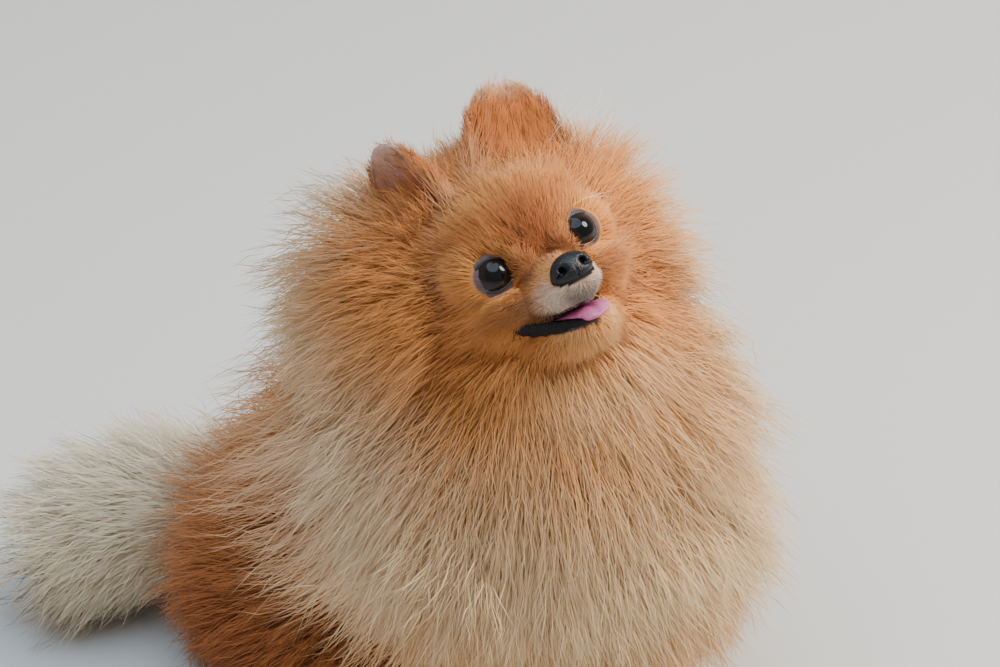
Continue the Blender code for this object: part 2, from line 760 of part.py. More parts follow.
def lip(form, drop, radius):
    """A roll laid on the form where its surface meets the lip line."""
    faces = [tuple(face.vertices) for face in form.data.polygons]
    tree = BVHTree.FromPolygons([vertex.co for vertex in form.data.vertices], faces)
    back, height = MOUTH_CORNER
    fall = drop / MOUTH_REACH
    start = Vector((0.0, LIP_FOCUS, height - fall * (back - LIP_FOCUS)))
    sections = []
    for k in range(LIP_POINTS):
        turn = LIP_SWEEP * (2 * k / (LIP_POINTS - 1) - 1)
        ahead = Vector((math.sin(turn), -math.cos(turn), -fall * math.cos(turn)))
        found = tree.ray_cast(start + ahead * 0.06, -ahead)[0]
        sections.append((*found, radius, radius))
    return loft(sections, 0, sides=6, across=(0, 0, 1))


def head():
    """The head without its jaw, with lids round the eyes and room for the nose and the ears."""
    form = head_form()
    boolean(form, "UNION", [lip(form, LIP_DROP, UPPER_LIP)])
    boolean(form, "UNION", cheek_locks(form))
    for side in (1, -1):
        centre = Vector((side * EYE_PLACE.x, EYE_PLACE.y, EYE_PLACE.z))
        lid = EYE_RADIUS + LID
        boolean(form, "UNION", [ellipsoid(centre, (lid, lid, lid), 20, 12)])
        socket = EYE_RADIUS + GAP
        boolean(form, "DIFFERENCE", [ellipsoid(centre, (socket, socket, socket))])
        opening = turned(((0.0, 0.0), (0.45, 0.0), (1.15, 0.02), (0.0, 0.02)), 16)
        opening.data.transform(Matrix.Diagonal((LID_OPENING[0], LID_OPENING[1], 1.0, 1.0)))
        opening.data.transform(eye_axis(side).to_track_quat("Z", "Y").to_matrix().to_4x4())
        opening.data.transform(Matrix.Translation(centre))
        boolean(form, "DIFFERENCE", [opening])
    boolean(form, "DIFFERENCE", [mouth_block(LIP_DROP, 0.0)])
    nose_room = NOSE_HALF + Vector((GAP, GAP, GAP))
    boolean(form, "DIFFERENCE", [ellipsoid(NOSE_CENTRE, nose_room)])
    in_head(form)
    boolean(form, "INTERSECT", [HEAD_LAND.solid()])
    for side in (1, -1):
        boolean(form, "DIFFERENCE", [ear_form(side, GAP, 0.0)])
    return node(largest_body(form), "head", "coat_orange")


def jaw():
    """The part of the head below the lower lip's line."""
    form = head_form()
    boolean(form, "UNION", [lip(form, JAW_DROP, LOWER_LIP)])
    boolean(form, "INTERSECT", [mouth_block(JAW_DROP, GAP)])
    return node(largest_body(in_head(form)), "jaw", "coat_cream")


def nose():
    """The nose leather, with two nostrils, their slits and the groove between them."""
    form = ellipsoid(NOSE_CENTRE, NOSE_HALF, 14, 8)
    for side in (1, -1):
        for (x, y, z), half, rings in ((*NOSTRIL, 6), (*NOSTRIL_SLIT, 5)):
            place = NOSE_CENTRE + Vector((side * x, y, z))
            boolean(form, "DIFFERENCE", [ellipsoid(place, half, 8, rings)])
    place, half = NOSE_GROOVE
    boolean(form, "DIFFERENCE", [ellipsoid(NOSE_CENTRE + Vector(place), half, 8, 6)])
    return node(largest_body(in_head(form)), "nose", "nose_black")


def tongue():
    """The tongue lies on the jaw and hangs over the lower lip."""
    form = loft(TONGUE, 0, sides=12, between=2)
    boolean(form, "DIFFERENCE", [grown_jaw()])
    return node(largest_body(in_head(form)), "tongue", "tongue_pink")


def grown_jaw():
    """The jaw, a little fatter, to cut what lies on it clear."""
    form = head_form()
    boolean(form, "UNION", [lip(form, JAW_DROP, LOWER_LIP)])
    boolean(form, "INTERSECT", [mouth_block(JAW_DROP - GAP, 0.0)])
    fatten = form.modifiers.new("fatten", "DISPLACE")
    fatten.strength = GAP
    fatten.mid_level = 0.0
    return settled(form)


def eye(side, name):
    """An eyeball."""
    centre = Vector((side * EYE_PLACE.x, EYE_PLACE.y, EYE_PLACE.z))
    form = ellipsoid(centre, (EYE_RADIUS, EYE_RADIUS, EYE_RADIUS), 14, 8)
    return node(in_head(form), name, "eye_black")


def ear_form(side, grow, cup):
    """An upright ear with a rounded tip. A cup of 0 leaves its front bulging, as the ear's room."""
    work = bmesh.new()
    rings = []
    arc = [math.radians(a) for a in range(-96, 97, 24)]
    for level in EAR_LEVELS:
        taper = math.sqrt(1 - level**2.4)
        half = EAR_HALF_WIDTH * (1 - 0.10 * level) * taper + grow
        deep = EAR_DEPTH * (1 - 0.55 * level) * taper + grow
        outer = [(half * math.sin(a), deep * math.cos(a)) for a in arc]
        if cup:
            wall = min(EAR_WALL, half * 0.4)
            inner = [((half - wall) * math.sin(a), cup * (deep - wall) * math.cos(a)) for a in arc[::-1]]
        else:
            inner = [(half * math.sin(a), -0.4 * deep * math.cos(a) - grow) for a in arc[-2:0:-1]]
        height = level * (EAR_HEIGHT + 2 * grow) - grow
        rings.append([work.verts.new((x, y, height)) for x, y in outer + inner])
    count = len(rings[0])
    for ring, following in zip(rings, rings[1:]):
        for k in range(count):
            j = (k + 1) % count
            work.faces.new((ring[k], ring[j], following[j], following[k]))
    work.faces.new(rings[0][::-1])
    work.faces.new(rings[-1])
    bmesh.ops.triangulate(work, faces=work.faces)
    form = object_of(work)
    form.data.transform(Matrix.Rotation(EAR_TURN[side], 4, "Z"))
    form.data.transform(Matrix.Rotation(side * EAR_LEAN[side], 4, "Y"))
    form.data.transform(Matrix.Rotation(math.radians(-4), 4, "X"))
    form.data.transform(Matrix.Translation(EAR_BASE[side]))
    return in_head(form)


def ear(side, name):
    """An ear with its cup."""
    return node(ear_form(side, 0.0, EAR_CUP[side]), name, "coat_orange")


def stand_on_floor():
    """Moves the model so that the middle of its box is over the origin."""
    corners = [Vector(c) for obj in MODEL.objects for c in obj.bound_box]
    low = Vector(min(c[i] for c in corners) for i in range(3))
    high = Vector(max(c[i] for c in corners) for i in range(3))
    shift = Matrix.Translation((-(low.x + high.x) / 2, -(low.y + high.y) / 2, -low.z))
    for obj in MODEL.objects:
        obj.data.transform(shift)


clear_scene()
MODEL = bpy.data.collections.new("pomeranian")
bpy.context.scene.collection.children.link(MODEL)
neck()
torso()
foreleg(1, "foreleg_left")
foreleg(-1, "foreleg_right")
hindleg(1, "hindleg_left")
hindleg(-1, "hindleg_right")
tail()
head()
jaw()
nose()
tongue()
eye(1, "eye_left")
eye(-1, "eye_right")
ear(1, "ear_left")
ear(-1, "ear_right")
stand_on_floor()
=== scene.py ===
# %% [markdown]
# # A sitting pomeranian
# A pomeranian is a small dog inside a very large coat. Under the fluff is a body the size of a forearm. This
# lesson builds that bare body first, as one skin, and then plants the coat on it, hair bundle by hair bundle,
# so that the round outline comes from the coat as it does on the real dog.
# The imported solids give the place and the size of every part, and nothing here moves them.

import math

import bmesh
import bpy
import numpy as np
from mathutils import Matrix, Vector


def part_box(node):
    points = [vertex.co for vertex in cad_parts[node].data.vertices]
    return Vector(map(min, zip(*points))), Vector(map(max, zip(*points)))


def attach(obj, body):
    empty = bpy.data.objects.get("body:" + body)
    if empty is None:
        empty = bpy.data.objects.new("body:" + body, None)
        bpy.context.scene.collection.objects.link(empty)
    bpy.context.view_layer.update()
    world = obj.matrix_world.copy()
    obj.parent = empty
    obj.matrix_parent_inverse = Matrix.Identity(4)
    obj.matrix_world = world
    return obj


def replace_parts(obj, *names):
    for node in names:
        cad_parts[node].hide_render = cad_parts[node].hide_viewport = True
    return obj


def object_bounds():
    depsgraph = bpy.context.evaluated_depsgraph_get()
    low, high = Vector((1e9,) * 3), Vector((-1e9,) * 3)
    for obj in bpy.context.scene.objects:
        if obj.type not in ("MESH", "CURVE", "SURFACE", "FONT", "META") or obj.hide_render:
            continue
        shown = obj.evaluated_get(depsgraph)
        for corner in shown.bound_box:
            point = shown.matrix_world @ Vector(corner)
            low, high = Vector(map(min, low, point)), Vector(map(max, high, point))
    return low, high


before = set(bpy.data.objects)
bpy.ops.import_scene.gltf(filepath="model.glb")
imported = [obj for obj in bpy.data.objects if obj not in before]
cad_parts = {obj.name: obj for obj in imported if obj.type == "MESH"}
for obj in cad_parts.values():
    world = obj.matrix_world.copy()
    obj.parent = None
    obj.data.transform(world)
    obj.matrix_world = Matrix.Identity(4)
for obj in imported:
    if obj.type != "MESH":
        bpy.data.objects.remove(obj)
CAD_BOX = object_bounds()
print("solids:", sorted(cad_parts))

# %% [markdown]
# ## The head's own frame
# The dog turns and tips its head to look up at us. Everything on the face is easier to shape in a frame that
# turns with the head: x to the dog's left, y towards its nape, z up through its crown. One small table of
# directions carries points between that frame and the room.

# %% The head's frame, and where the solids stand
HEAD_CENTRE = np.array((0.0003, -0.0360, 0.2190))
LOOK = np.array((-0.507, -0.620, 0.598))
LOOK /= np.linalg.norm(LOOK)
CROWN = np.array((0.121, 0.636, 0.762))
HEAD_LEFT = np.cross(CROWN, LOOK)
HEAD_LEFT /= np.linalg.norm(HEAD_LEFT)
HEAD_UP = np.cross(LOOK, HEAD_LEFT)
HEAD_AXES = np.stack((HEAD_LEFT, -LOOK, HEAD_UP))
EYE_PLACE = np.array((0.0197, -0.0230, 0.0045))  # the left eye's middle
EYE_RADIUS = 0.0095


def to_room(points):
    """Head frame to the modelling frame: centre + x * left + y * back + z * up."""
    return HEAD_CENTRE + np.asarray(points) @ HEAD_AXES


def to_head(points):
    """The modelling frame to the head's: the offset from its centre, measured along its three axes."""
    return (np.asarray(points) - HEAD_CENTRE) @ HEAD_AXES.T


low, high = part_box("eye_left")
SHIFT = np.array((low + high) / 2) - to_room(EYE_PLACE)  # the solids were moved to stand over the origin
print("shift of the solids, mm:", (SHIFT * 1000).round(2))

# %% [markdown]
# ## Sizes of the body and its coat
# Each limb is a row of round sections. A section has a centre, the half width and half depth of the bare
# body, and the depth of the coat that grows on it there. The mane over the neck is almost 70 mm deep, and
# the fur on the feet only 3 mm.

# %% Sections in mm: x, y, z, half width, half depth, coat


def mm(*rows):
    """Rows of millimetres in metres."""
    return tuple(tuple(value / 1000 for value in row) for row in rows)


TRUNK = mm((0, 98, 34, 16, 16, 22), (0, 80, 42, 30, 30, 26), (0, 54, 56, 36, 37, 30), (0, 26, 84, 40, 42, 36),
           (0, -4, 120, 44, 47, 48), (0, -36, 156, 43, 45, 68), (2, -42, 186, 38, 40, 67), (6, -30, 206, 30, 32, 54))
NAPE = mm((0, -10, 178, 34, 34, 56), (-4, 10, 200, 28, 28, 46), (-6, 20, 212, 18, 18, 36))
BIB = mm((0, -40, 150, 40, 40, 62), (0, -56, 112, 38, 34, 60), (0, -62, 82, 32, 28, 52), (0, -62, 60, 20, 18, 34))
THIGH = mm((22, 82, 60, 24, 26, 20), (38, 66, 52, 27, 32, 26), (50, 42, 44, 21, 26, 22), (53, 26, 36, 13, 16, 16))
SHIN = mm((52, 32, 36, 12, 14, 12), (51, 64, 25, 10, 12, 10), (51, 96, 15, 9, 10, 8))
HIND_FOOT = mm((51, 98, 12, 8, 8, 5), (53, 66, 10, 9, 7, 5), (56, 32, 10, 11, 7, 4), (58, 12, 9, 11, 7, 3))
FORELEG = mm((34, -36, 104, 18, 21, 22), (34, -40, 78, 14, 16, 18), (33, -52, 50, 11, 12, 10),
             (32, -62, 27, 10, 10, 5), (32, -73, 12, 11, 9, 4), (32, -85, 8.5, 11, 8, 3))
TAIL = mm((0, 94, 44, 9, 9, 20), (-4, 122, 49, 8, 8, 38), (-16, 146, 48, 7, 7, 46), (-30, 162, 44, 6, 6, 48),
          (-40, 171, 40, 5, 5, 42), (-47, 177, 37, 3, 3, 32))
print("sections:", sum(len(rows) for rows in (TRUNK, NAPE, BIB, THIGH, SHIN, HIND_FOOT, FORELEG, TAIL)))

# %% The head's forms, in its own frame
SKULL = (  # centre, half sizes
    mm((0, 6, 0), (33, 36, 29)), mm((0, -16, 11), (26, 19, 19)), mm((19, -9, -11), (16, 24, 17)),
    mm((10, -28, 4), (9, 8, 8)), mm((19.5, -17.5, 4.5), (15.5, 13, 14)))
FACE_COAT = (  # the outline of the head's fluff: centre, half sizes
    mm((0, 14, 4), (55, 36, 51)), mm((0, 2, -5), (45, 30, 38)), mm((0, -4, 12), (40, 34, 36)),
    mm((0, -4, -10), (43, 30, 34)))
STOP = (0.000, -0.038, 0.002)  # the dip between the brows, where the fur is shortest
RUFF_CENTRE = (0.010, 0.028, 0.004)
RUFF_BARE = (0.034, 0.022, 0.032)
RUFF_COAT = 0.056
MUZZLE = (  # x, y, z, half width, half height
    (0.000, -0.018, -0.011, 0.020, 0.017),
    (0.000, -0.034, -0.012, 0.0150, 0.0130),
    (0.000, -0.046, -0.013, 0.0122, 0.0108),
    (0.000, -0.053, -0.0133, 0.0102, 0.0092),
)
CHIN = (
    (0.000, 0.004, -0.024, 0.0220, 0.0120),
    (0.000, -0.018, -0.0270, 0.0205, 0.0105),
    (0.000, -0.034, -0.0290, 0.0150, 0.0080),
    (0.000, -0.042, -0.0300, 0.0110, 0.0064),
)
LOWER_LIP = (  # centre x, y, z, half height, half thickness, from the front to the corner
    (0.0000, -0.0486, -0.0288, 0.0015, 0.0018),
    (0.0060, -0.0464, -0.0282, 0.0018, 0.0018),
    (0.0108, -0.0415, -0.0268, 0.0022, 0.0020),
    (0.0152, -0.0362, -0.0248, 0.0026, 0.0022),
    (0.0200, -0.0316, -0.0222, 0.0026, 0.0022),
    (0.0245, -0.0278, -0.0190, 0.0016, 0.0016),
)
print("the face's fluff spans, mm:", [round(2000 * size) for size in FACE_COAT[0][1]])

# %% [markdown]
# ## Surfaces from arrays
# A tube is a profile carried along a path, and a ball is a circle of circles. Both are grids: rows of points
# around, one row after another. Working out the whole grid at once in numpy is quick, and the same few lines
# serve a leg, a skull and a toe.

# %% Small tools


def lengths(vectors):
    """The vectors' lengths, as a column."""
    return np.linalg.norm(vectors, axis=-1, keepdims=True)


def unit(vectors):
    """Each vector divided by its length."""
    return vectors / np.maximum(lengths(vectors), 1e-12)


def squares(vectors):
    """Each vector's length squared: x*x + y*y + z*z."""
    return (vectors**2).sum(axis=-1)


def mixed(one, other, share):
    """One value faded into another: one * (1 - share) + other * share."""
    return one * (1 - share) + other * share


def blend(one, other, share):
    """The same for colours or vectors, with a share for each point."""
    return mixed(np.asarray(one), np.asarray(other), np.asarray(share)[..., None])


def ring_of(count):
    """Angles once round, without the last, which is the first again."""
    return np.linspace(0, 2 * math.pi, count, endpoint=False)


def directions(turn, fall):
    """Unit vectors: (cos(turn) sin(fall), sin(turn) sin(fall), cos(fall))."""
    return np.stack((np.cos(turn) * np.sin(fall), np.sin(turn) * np.sin(fall), np.cos(fall) + 0 * turn), axis=-1)


def smooth_step(value, start, end):
    """0 before start, 1 after end, and 3t*t - 2t*t*t between them."""
    t = np.clip((value - start) / (end - start), 0, 1)
    return t * t * (3 - 2 * t)


def through(rows, count):
    """Points on a smooth curve through the rows: each stretch is the cubic whose slope at a row is half the
    step between that row's neighbours."""
    rows = np.asarray(rows, float)
    padded = np.vstack((2 * rows[0] - rows[1], rows, 2 * rows[-1] - rows[-2]))
    t = np.linspace(0, 1, count, endpoint=False)[None, :, None]
    before, start, end, after = (padded[k : k + len(rows) - 1, None, :] for k in range(4))
    bend = 2 * before - 5 * start + 4 * end - after
    twist = 3 * start - before - 3 * end + after
    curve = 0.5 * (2 * start + (end - before) * t + bend * t**2 + twist * t**3)
    return np.vstack((curve.reshape(-1, rows.shape[1]), rows[-1:]))


print("half way up a smooth step:", smooth_step(0.5, 0, 1))

# %% Tubes and balls


def tube(sections, sides=24, between=4, side=1, across=(1, 0, 0)):
    """A round tube along a path: centre + wide * half width * cos(turn) + deep * half depth * sin(turn).
    Each end closes through three shrinking rings, as a quarter circle does."""
    rows = through(sections, between)
    centres = rows[:, :3] * (side, 1, 1)
    halves = rows[:, 3:5]
    ahead = unit(np.gradient(centres, axis=0))
    shrink = np.array((0.30, 0.62, 0.88))
    reach = np.sqrt(1 - shrink**2)
    first = centres[0] - ahead[0] * (halves[0].min() * reach)[:, None]
    last = centres[-1] + ahead[-1] * (halves[-1].min() * reach[::-1])[:, None]
    centres = np.vstack((first, centres, last))
    halves = np.vstack((halves[0] * shrink[:, None], halves, halves[-1] * shrink[::-1, None]))
    ahead = np.vstack((np.repeat(ahead[:1], 3, 0), ahead, np.repeat(ahead[-1:], 3, 0)))
    wide = unit(np.array(across) - ahead * (ahead @ np.array(across))[:, None])
    deep = np.cross(ahead, wide)
    turn = ring_of(sides)[None, :, None]
    return (centres[:, None] + wide[:, None] * halves[:, None, :1] * np.cos(turn)
            + deep[:, None] * halves[:, None, 1:] * np.sin(turn))


def ball(centre, half, sides=28, rows=18):
    """An ellipsoid as rings: centre + half * direction."""
    fall = np.linspace(0.10, math.pi - 0.10, rows)[:, None]
    return np.asarray(centre) + np.asarray(half) * directions(ring_of(sides)[None, :], fall)


print("a tube of the tail has", tube(TAIL).shape, "points")

# %% Meshes from grids


def closed_faces(rows, sides):
    """Quads between the rings, and a fan at each end to a pole that follows the ring points."""
    k = np.arange(sides)
    j = (k + 1) % sides
    start = (np.arange(rows - 1) * sides)[:, None]
    quads = np.stack((start + k, start + j, start + sides + j, start + sides + k), axis=-1).reshape(-1, 4)
    first = np.stack((j, k, np.full(sides, rows * sides)), axis=-1)
    end = (rows - 1) * sides
    last = np.stack((end + k, end + j, np.full(sides, rows * sides + 1)), axis=-1)
    return quads, np.vstack((first, last))


def flat(values):
    """Numbers as the single row that Blender takes."""
    return np.ascontiguousarray(values, np.float32).ravel()


def fill_mesh(name, places, quads, triangles):
    """A mesh from whole arrays: the corner list is all quads and then all triangles."""
    mesh = bpy.data.meshes.new(name)
    quads = np.asarray(quads, np.int32).reshape(-1, 4)
    triangles = np.asarray(triangles, np.int32).reshape(-1, 3)
    mesh.vertices.add(len(places))
    mesh.vertices.foreach_set("co", flat(places))
    mesh.loops.add(quads.size + triangles.size)
    mesh.loops.foreach_set("vertex_index", np.concatenate((quads.ravel(), triangles.ravel())))
    mesh.polygons.add(len(quads) + len(triangles))
    starts = np.concatenate((np.arange(len(quads)) * 4, quads.size + np.arange(len(triangles)) * 3))
    mesh.polygons.foreach_set("loop_start", starts.astype(np.int32))
    mesh.update(calc_edges=True)
    mesh.shade_smooth()
    return mesh


def linked(name, data):
    """A new object that holds the data, in the scene."""
    obj = bpy.data.objects.new(name, data)
    bpy.context.scene.collection.objects.link(obj)
    return obj


def object_from(name, places, quads, triangles):
    """A scene object at the origin that holds such a mesh."""
    return linked(name, fill_mesh(name, places, quads, triangles))


def joined_grids(name, grids):
    """One object from several closed grids. Each grid's poles are the middles of its end rings."""
    places, quads, triangles = [], [], []
    count = 0
    for grid in grids:
        rows, sides = grid.shape[:2]
        four, three = closed_faces(rows, sides)
        places += [grid.reshape(-1, 3), grid[:1].mean(axis=1), grid[-1:].mean(axis=1)]
        quads.append(four + count)
        triangles.append(three + count)
        count += rows * sides + 2
    made = object_from(name, np.vstack(places), np.vstack(quads), np.vstack(triangles))
    return faced_out(made)


def faced_out(obj):
    """Turns every face of a closed mesh outwards: the volume that they enclose is then above zero."""
    work = bmesh.new()
    work.from_mesh(obj.data)
    bmesh.ops.recalc_face_normals(work, faces=work.faces)
    if work.calc_volume(signed=True) < 0:
        bmesh.ops.reverse_faces(work, faces=work.faces)
    work.to_mesh(obj.data)
    work.free()
    return obj


def settled(obj):
    """Applies the object's modifiers to its mesh."""
    graph = bpy.context.evaluated_depsgraph_get()
    mesh = bpy.data.meshes.new_from_object(obj.evaluated_get(graph))
    obj.modifiers.clear()
    obj.data = mesh
    return obj


def numbers(items, name, width, kind=np.float32):
    """One property of all the items of a mesh list, as an array."""
    values = np.empty(len(items) * width, kind)
    items.foreach_get(name, values)
    return values.reshape(-1, width)


def points_of(obj):
    """The mesh's points."""
    return numbers(obj.data.vertices, "co", 3)


def moved_to(obj, points):
    """Puts the mesh's points elsewhere."""
    obj.data.vertices.foreach_set("co", flat(points))
    obj.data.update()


print("a ball makes", len(closed_faces(18, 28)[0]), "quads")

# %% [markdown]
# ## One skin
# On the dog there is no seam between head, neck and leg. The rounded pieces overlap, and a voxel remesh
# melts them into one closed surface, which a little smoothing relaxes. The head gets a finer voxel than the
# body, since its skin shows through short fur. The mouth is a wedge cut out of the muzzle, and the eyes lie
# in hollows. Sculpting a single ball would also work, but then no size could be named.

# %% The bare body
HEAD_VOXEL = 0.0010
BODY_VOXEL = 0.0022
MOUTH_CORNER = (-0.0180, -0.0212)  # y, z
LIP_DROP = 0.0020
JAW_DROP = 0.0150
MOUTH_REACH = 0.060
TOE_STEP = 0.0054
TOE_HALF = (0.0032, 0.0062, 0.0052)
SOCKET_DEPTH, SOCKET_EDGE = 0.006, (0.0060, 0.0078)  # the edge fades between two distances from the eye's axis


def melted(obj, voxel, rounds):
    """Overlapping closed pieces made one surface, and relaxed."""
    remesh = obj.modifiers.new("melt", "REMESH")
    remesh.mode, remesh.voxel_size = "VOXEL", voxel
    obj.modifiers.new("relax", "SMOOTH").iterations = rounds
    return settled(obj)


def toe_places(sections, side):
    """Four toes across a foot's end, the middle two in front: x steps evenly, y falls with its square."""
    across = np.arange(4) - 1.5
    x, y = sections[-1][:2]
    return np.stack((side * x + across * TOE_STEP, y - 0.0045 + 0.0016 * across**2, np.full(4, 0.0062)), axis=-1)


limbs = [tube(rows) for rows in (TRUNK, NAPE, BIB, TAIL)]
for side in (1, -1):
    limbs += [tube(rows, side=side) for rows in (THIGH, SHIN, HIND_FOOT, FORELEG)]
    for rows in (HIND_FOOT, FORELEG):
        limbs += [ball(place, TOE_HALF, 14, 9) for place in toe_places(rows, side)]
limbs.append(to_room(ball(RUFF_CENTRE, RUFF_BARE)))
body = melted(joined_grids("body_form", limbs), BODY_VOXEL, 4)
print("body form:", len(body.data.polygons), "faces")

# %% The head, with the mouth cut open
mirror = np.array((-1, 1, 1))
skull = [ball(centre, half) for centre, half in SKULL]
skull += [ball(centre * mirror, half) for centre, half in SKULL if centre[0]]
skull += [tube(MUZZLE), tube(CHIN)]
head = joined_grids("head_form", skull)


def mouth_wedge():
    """The open mouth: a wedge whose upper face falls by LIP_DROP and lower face by JAW_DROP over its reach."""
    back, height = MOUTH_CORNER
    front = back - MOUTH_REACH
    profile = np.array(((back, height), (front, height - LIP_DROP), (front, height - JAW_DROP)))
    left = np.column_stack((np.full(3, 0.05), profile))
    right = left * mirror
    sides = ((0, 1, 4, 3), (1, 2, 5, 4), (2, 0, 3, 5))
    return faced_out(object_from("mouth_wedge", np.vstack((left, right)), sides, ((0, 1, 2), (5, 4, 3))))


def combine(obj, other, operation):
    """One Boolean with a closed mesh, which is then removed."""
    step = obj.modifiers.new("combine", "BOOLEAN")
    step.object, step.operation, step.solver = other, operation, "MANIFOLD"
    settled(obj)
    bpy.data.objects.remove(other)
    return obj


melted(head, HEAD_VOXEL, 3)
combine(head, mouth_wedge(), "DIFFERENCE")
points = points_of(head)
for side in (1, -1):
    # Behind the opening the skin is pushed in, to leave room for the eyeball
    centre = EYE_PLACE * (side, 1, 1)
    offset = points - centre
    near = np.linalg.norm(offset[:, (0, 2)], axis=1)
    points[:, 1] += SOCKET_DEPTH * (1 - smooth_step(near, *SOCKET_EDGE)) * (offset[:, 1] < 0)
moved_to(head, to_room(points))
skin = combine(body, head, "UNION")
skin.name = "skin"
points = points_of(skin)
points[:, 2] = np.maximum(points[:, 2], 0.0)  # the soles are flat on the floor
skin.data.vertices.foreach_set("co", flat(points))
print("skin:", len(skin.data.polygons), "faces")

# %% [markdown]
# ## Where each kind of coat grows
# The lie and the length of the coat change from part to part. Each part has a territory: all that lies beyond
# a disc, whose rim runs on as a cone. The same discs part the solids. Here they only choose how hair grows,
# and they fade into each other, so no line shows.

# %% Territories


def territory(places, origin, axis, flat_radius, slope):
    """How far inside a territory each point lies: its way along the axis less slope * (radius - flat_radius)."""
    axis = unit(np.asarray(axis, float))
    offset = places - np.asarray(origin)
    along = offset @ axis
    radius = np.linalg.norm(offset - along[:, None] * axis, axis=1)
    return along - slope * np.maximum(radius - flat_radius, 0)


def lands(places):
    """The depth of each point inside the mane, head, tail, thighs and forelegs."""
    side = np.where(places[:, :1] > 0, 1.0, -1.0)
    folded = places * np.hstack((side, np.ones((len(places), 2))))  # both sides are alike
    return {
        "mane": territory(places, (0.0, -0.006, 0.136), (0.0, -0.72, 0.69), 0.060, -0.85),
        "head": territory(places, HEAD_CENTRE - LOOK * 0.014, LOOK + HEAD_UP * 0.35, 0.047, 0.5),
        "tail": territory(places, (0.0, 0.106, 0.046), (-0.12, 0.95, 0.16), 0.013, 0.80),
        "thigh": territory(folded, (0.034, 0.056, 0.045), (1, 0.0, -0.18), 0.046, 1.15),
        "foreleg": territory(folded, (0.034, -0.040, 0.082), (0.0, -0.20, -1.0), 0.022, 3.0),
    }


def nearby(places, rows, column, spread=0.0016):
    """A value of the sections near each point: their mean, weighted by exp(-distance squared / spread)."""
    rows = np.asarray(rows, float)
    gap = squares(places[:, None] - rows[None, :, :3])
    weight = np.exp(-(gap - gap.min(axis=1, keepdims=True)) / spread)
    return (weight * rows[:, column]).sum(axis=1) / weight.sum(axis=1)


def mirrored(rows):
    """The sections of the left side and of the right."""
    rows = np.asarray(rows, float)
    return np.vstack((rows, rows * np.array((-1, 1, 1, 1, 1, 1))))


print("the crown lies this far inside the head's territory:", lands(to_room([[0, 0, 0.03]]))["head"].round(4))

# %% [markdown]
# ## The colours of the coat
# An orange pomeranian isn't one orange. The crown and cheeks are deep orange, the back and haunches red-brown,
# and the mane pales from its root to cream at the tip. The muzzle and throat are nearly white. These are
# painted as soft patches: each has a centre, a size and a colour, and fades out like a bell. Skin and hair ask
# the same function, so that the skin never shows as another colour through a parting.
# Two patches low on the bib are partly painted shade, and one on the dog's right edge of the ruff is partly painted
# light.

# %% Markings
ORANGE = (0.72, 0.270, 0.064)
DEEP_ORANGE = (0.54, 0.165, 0.036)
PALE_ORANGE = (0.84, 0.440, 0.165)
RED_BROWN = (0.34, 0.090, 0.022)
DARK_BROWN = (0.17, 0.050, 0.018)
CREAM = (0.90, 0.660, 0.390)
WHITE_CREAM = (0.95, 0.850, 0.680)
PALE_GREY = (0.62, 0.500, 0.420)
GREY_BLACK = (0.060, 0.048, 0.050)
SKIN_PINK = (0.58, 0.330, 0.265)


def both(centre, *rest):
    """A patch on one side, and the same on the other."""
    return (centre, *rest), ((-centre[0], *centre[1:]), *rest)


BODY_PATCHES = (  # centre and half sizes in mm, colour at the root, colour at the tip, strength
    ((0, 60, 60), (90, 90, 80), RED_BROWN, DEEP_ORANGE, 1.0),
    ((0, 34, 120), (90, 55, 60), DEEP_ORANGE, ORANGE, 0.9),
    *both((60, 50, 30), (60, 80, 50), DARK_BROWN, RED_BROWN, 0.95),
    ((0, -60, 120), (70, 50, 45), PALE_ORANGE, CREAM, 1.0),
    ((0, -60, 66), (80, 60, 34), PALE_ORANGE, CREAM, 0.9),
    # Darker towards the bottom of the bib: partly browner hair, partly painted shade
    ((0, -50, 45), (120, 90, 36), RED_BROWN, ORANGE, 0.6),
    ((0, -50, 96), (110, 70, 20), DEEP_ORANGE, ORANGE, 0.5),
    # The dog's right edge of the ruff alone, paler: partly cream hair, partly painted light
    ((-85, 10, 170), (50, 60, 80), PALE_ORANGE, WHITE_CREAM, 0.75),
    ((0, 175, 40), (90, 80, 80), (0.98, 0.74, 0.47), (1.0, 0.83, 0.58), 1.0),
    *both((34, -70, 20), (30, 50, 40), CREAM, WHITE_CREAM, 1.0),
)
HEAD_PATCHES = (  # in the head's frame
    ((0, 0, 0), (80, 70, 80), ORANGE, ORANGE, 1.0),
    ((0, -6, 30), (30, 24, 16), PALE_ORANGE, ORANGE, 0.3),
    ((0, 18, 36), (60, 24, 30), RED_BROWN, DEEP_ORANGE, 0.7),
    *both((34, 4, -10), (18, 26, 24), DEEP_ORANGE, ORANGE, 0.5),
    ((0, -30, 12), (14, 17, 16), DARK_BROWN, RED_BROWN, 0.95),
    *both((-17, -26, 18), (12, 12, 6), DARK_BROWN, DEEP_ORANGE, 0.6),
    *both((10, -36, -1), (5, 6, 7), DARK_BROWN, DARK_BROWN, 0.8),
    *both((-22, -30, -12), (10, 14, 6), DARK_BROWN, RED_BROWN, 0.6),
    ((0, -49, -19), (21, 18, 11), PALE_GREY, (0.93, 0.86, 0.76), 0.85),
    ((0, -42, -36), (16, 15, 12), ORANGE, PALE_ORANGE, 0.9),
    ((0, -8, -48), (36, 34, 16), PALE_ORANGE, CREAM, 0.6),
    ((0, -58, -20), (10, 10, 7), GREY_BLACK, GREY_BLACK, 0.75),
)


def painted(places, along, base, patches):
    """Colours with each soft patch mixed over the last: weight = strength * exp(-|offset / half|^4)."""
    colours = base
    for centre, half, root, tip, strength in patches:
        reach = squares((places - np.array(centre) / 1000) / (np.array(half) / 1000))
        colours = blend(colours, blend(root, tip, along), strength * np.exp(-(reach**2)))
    return colours


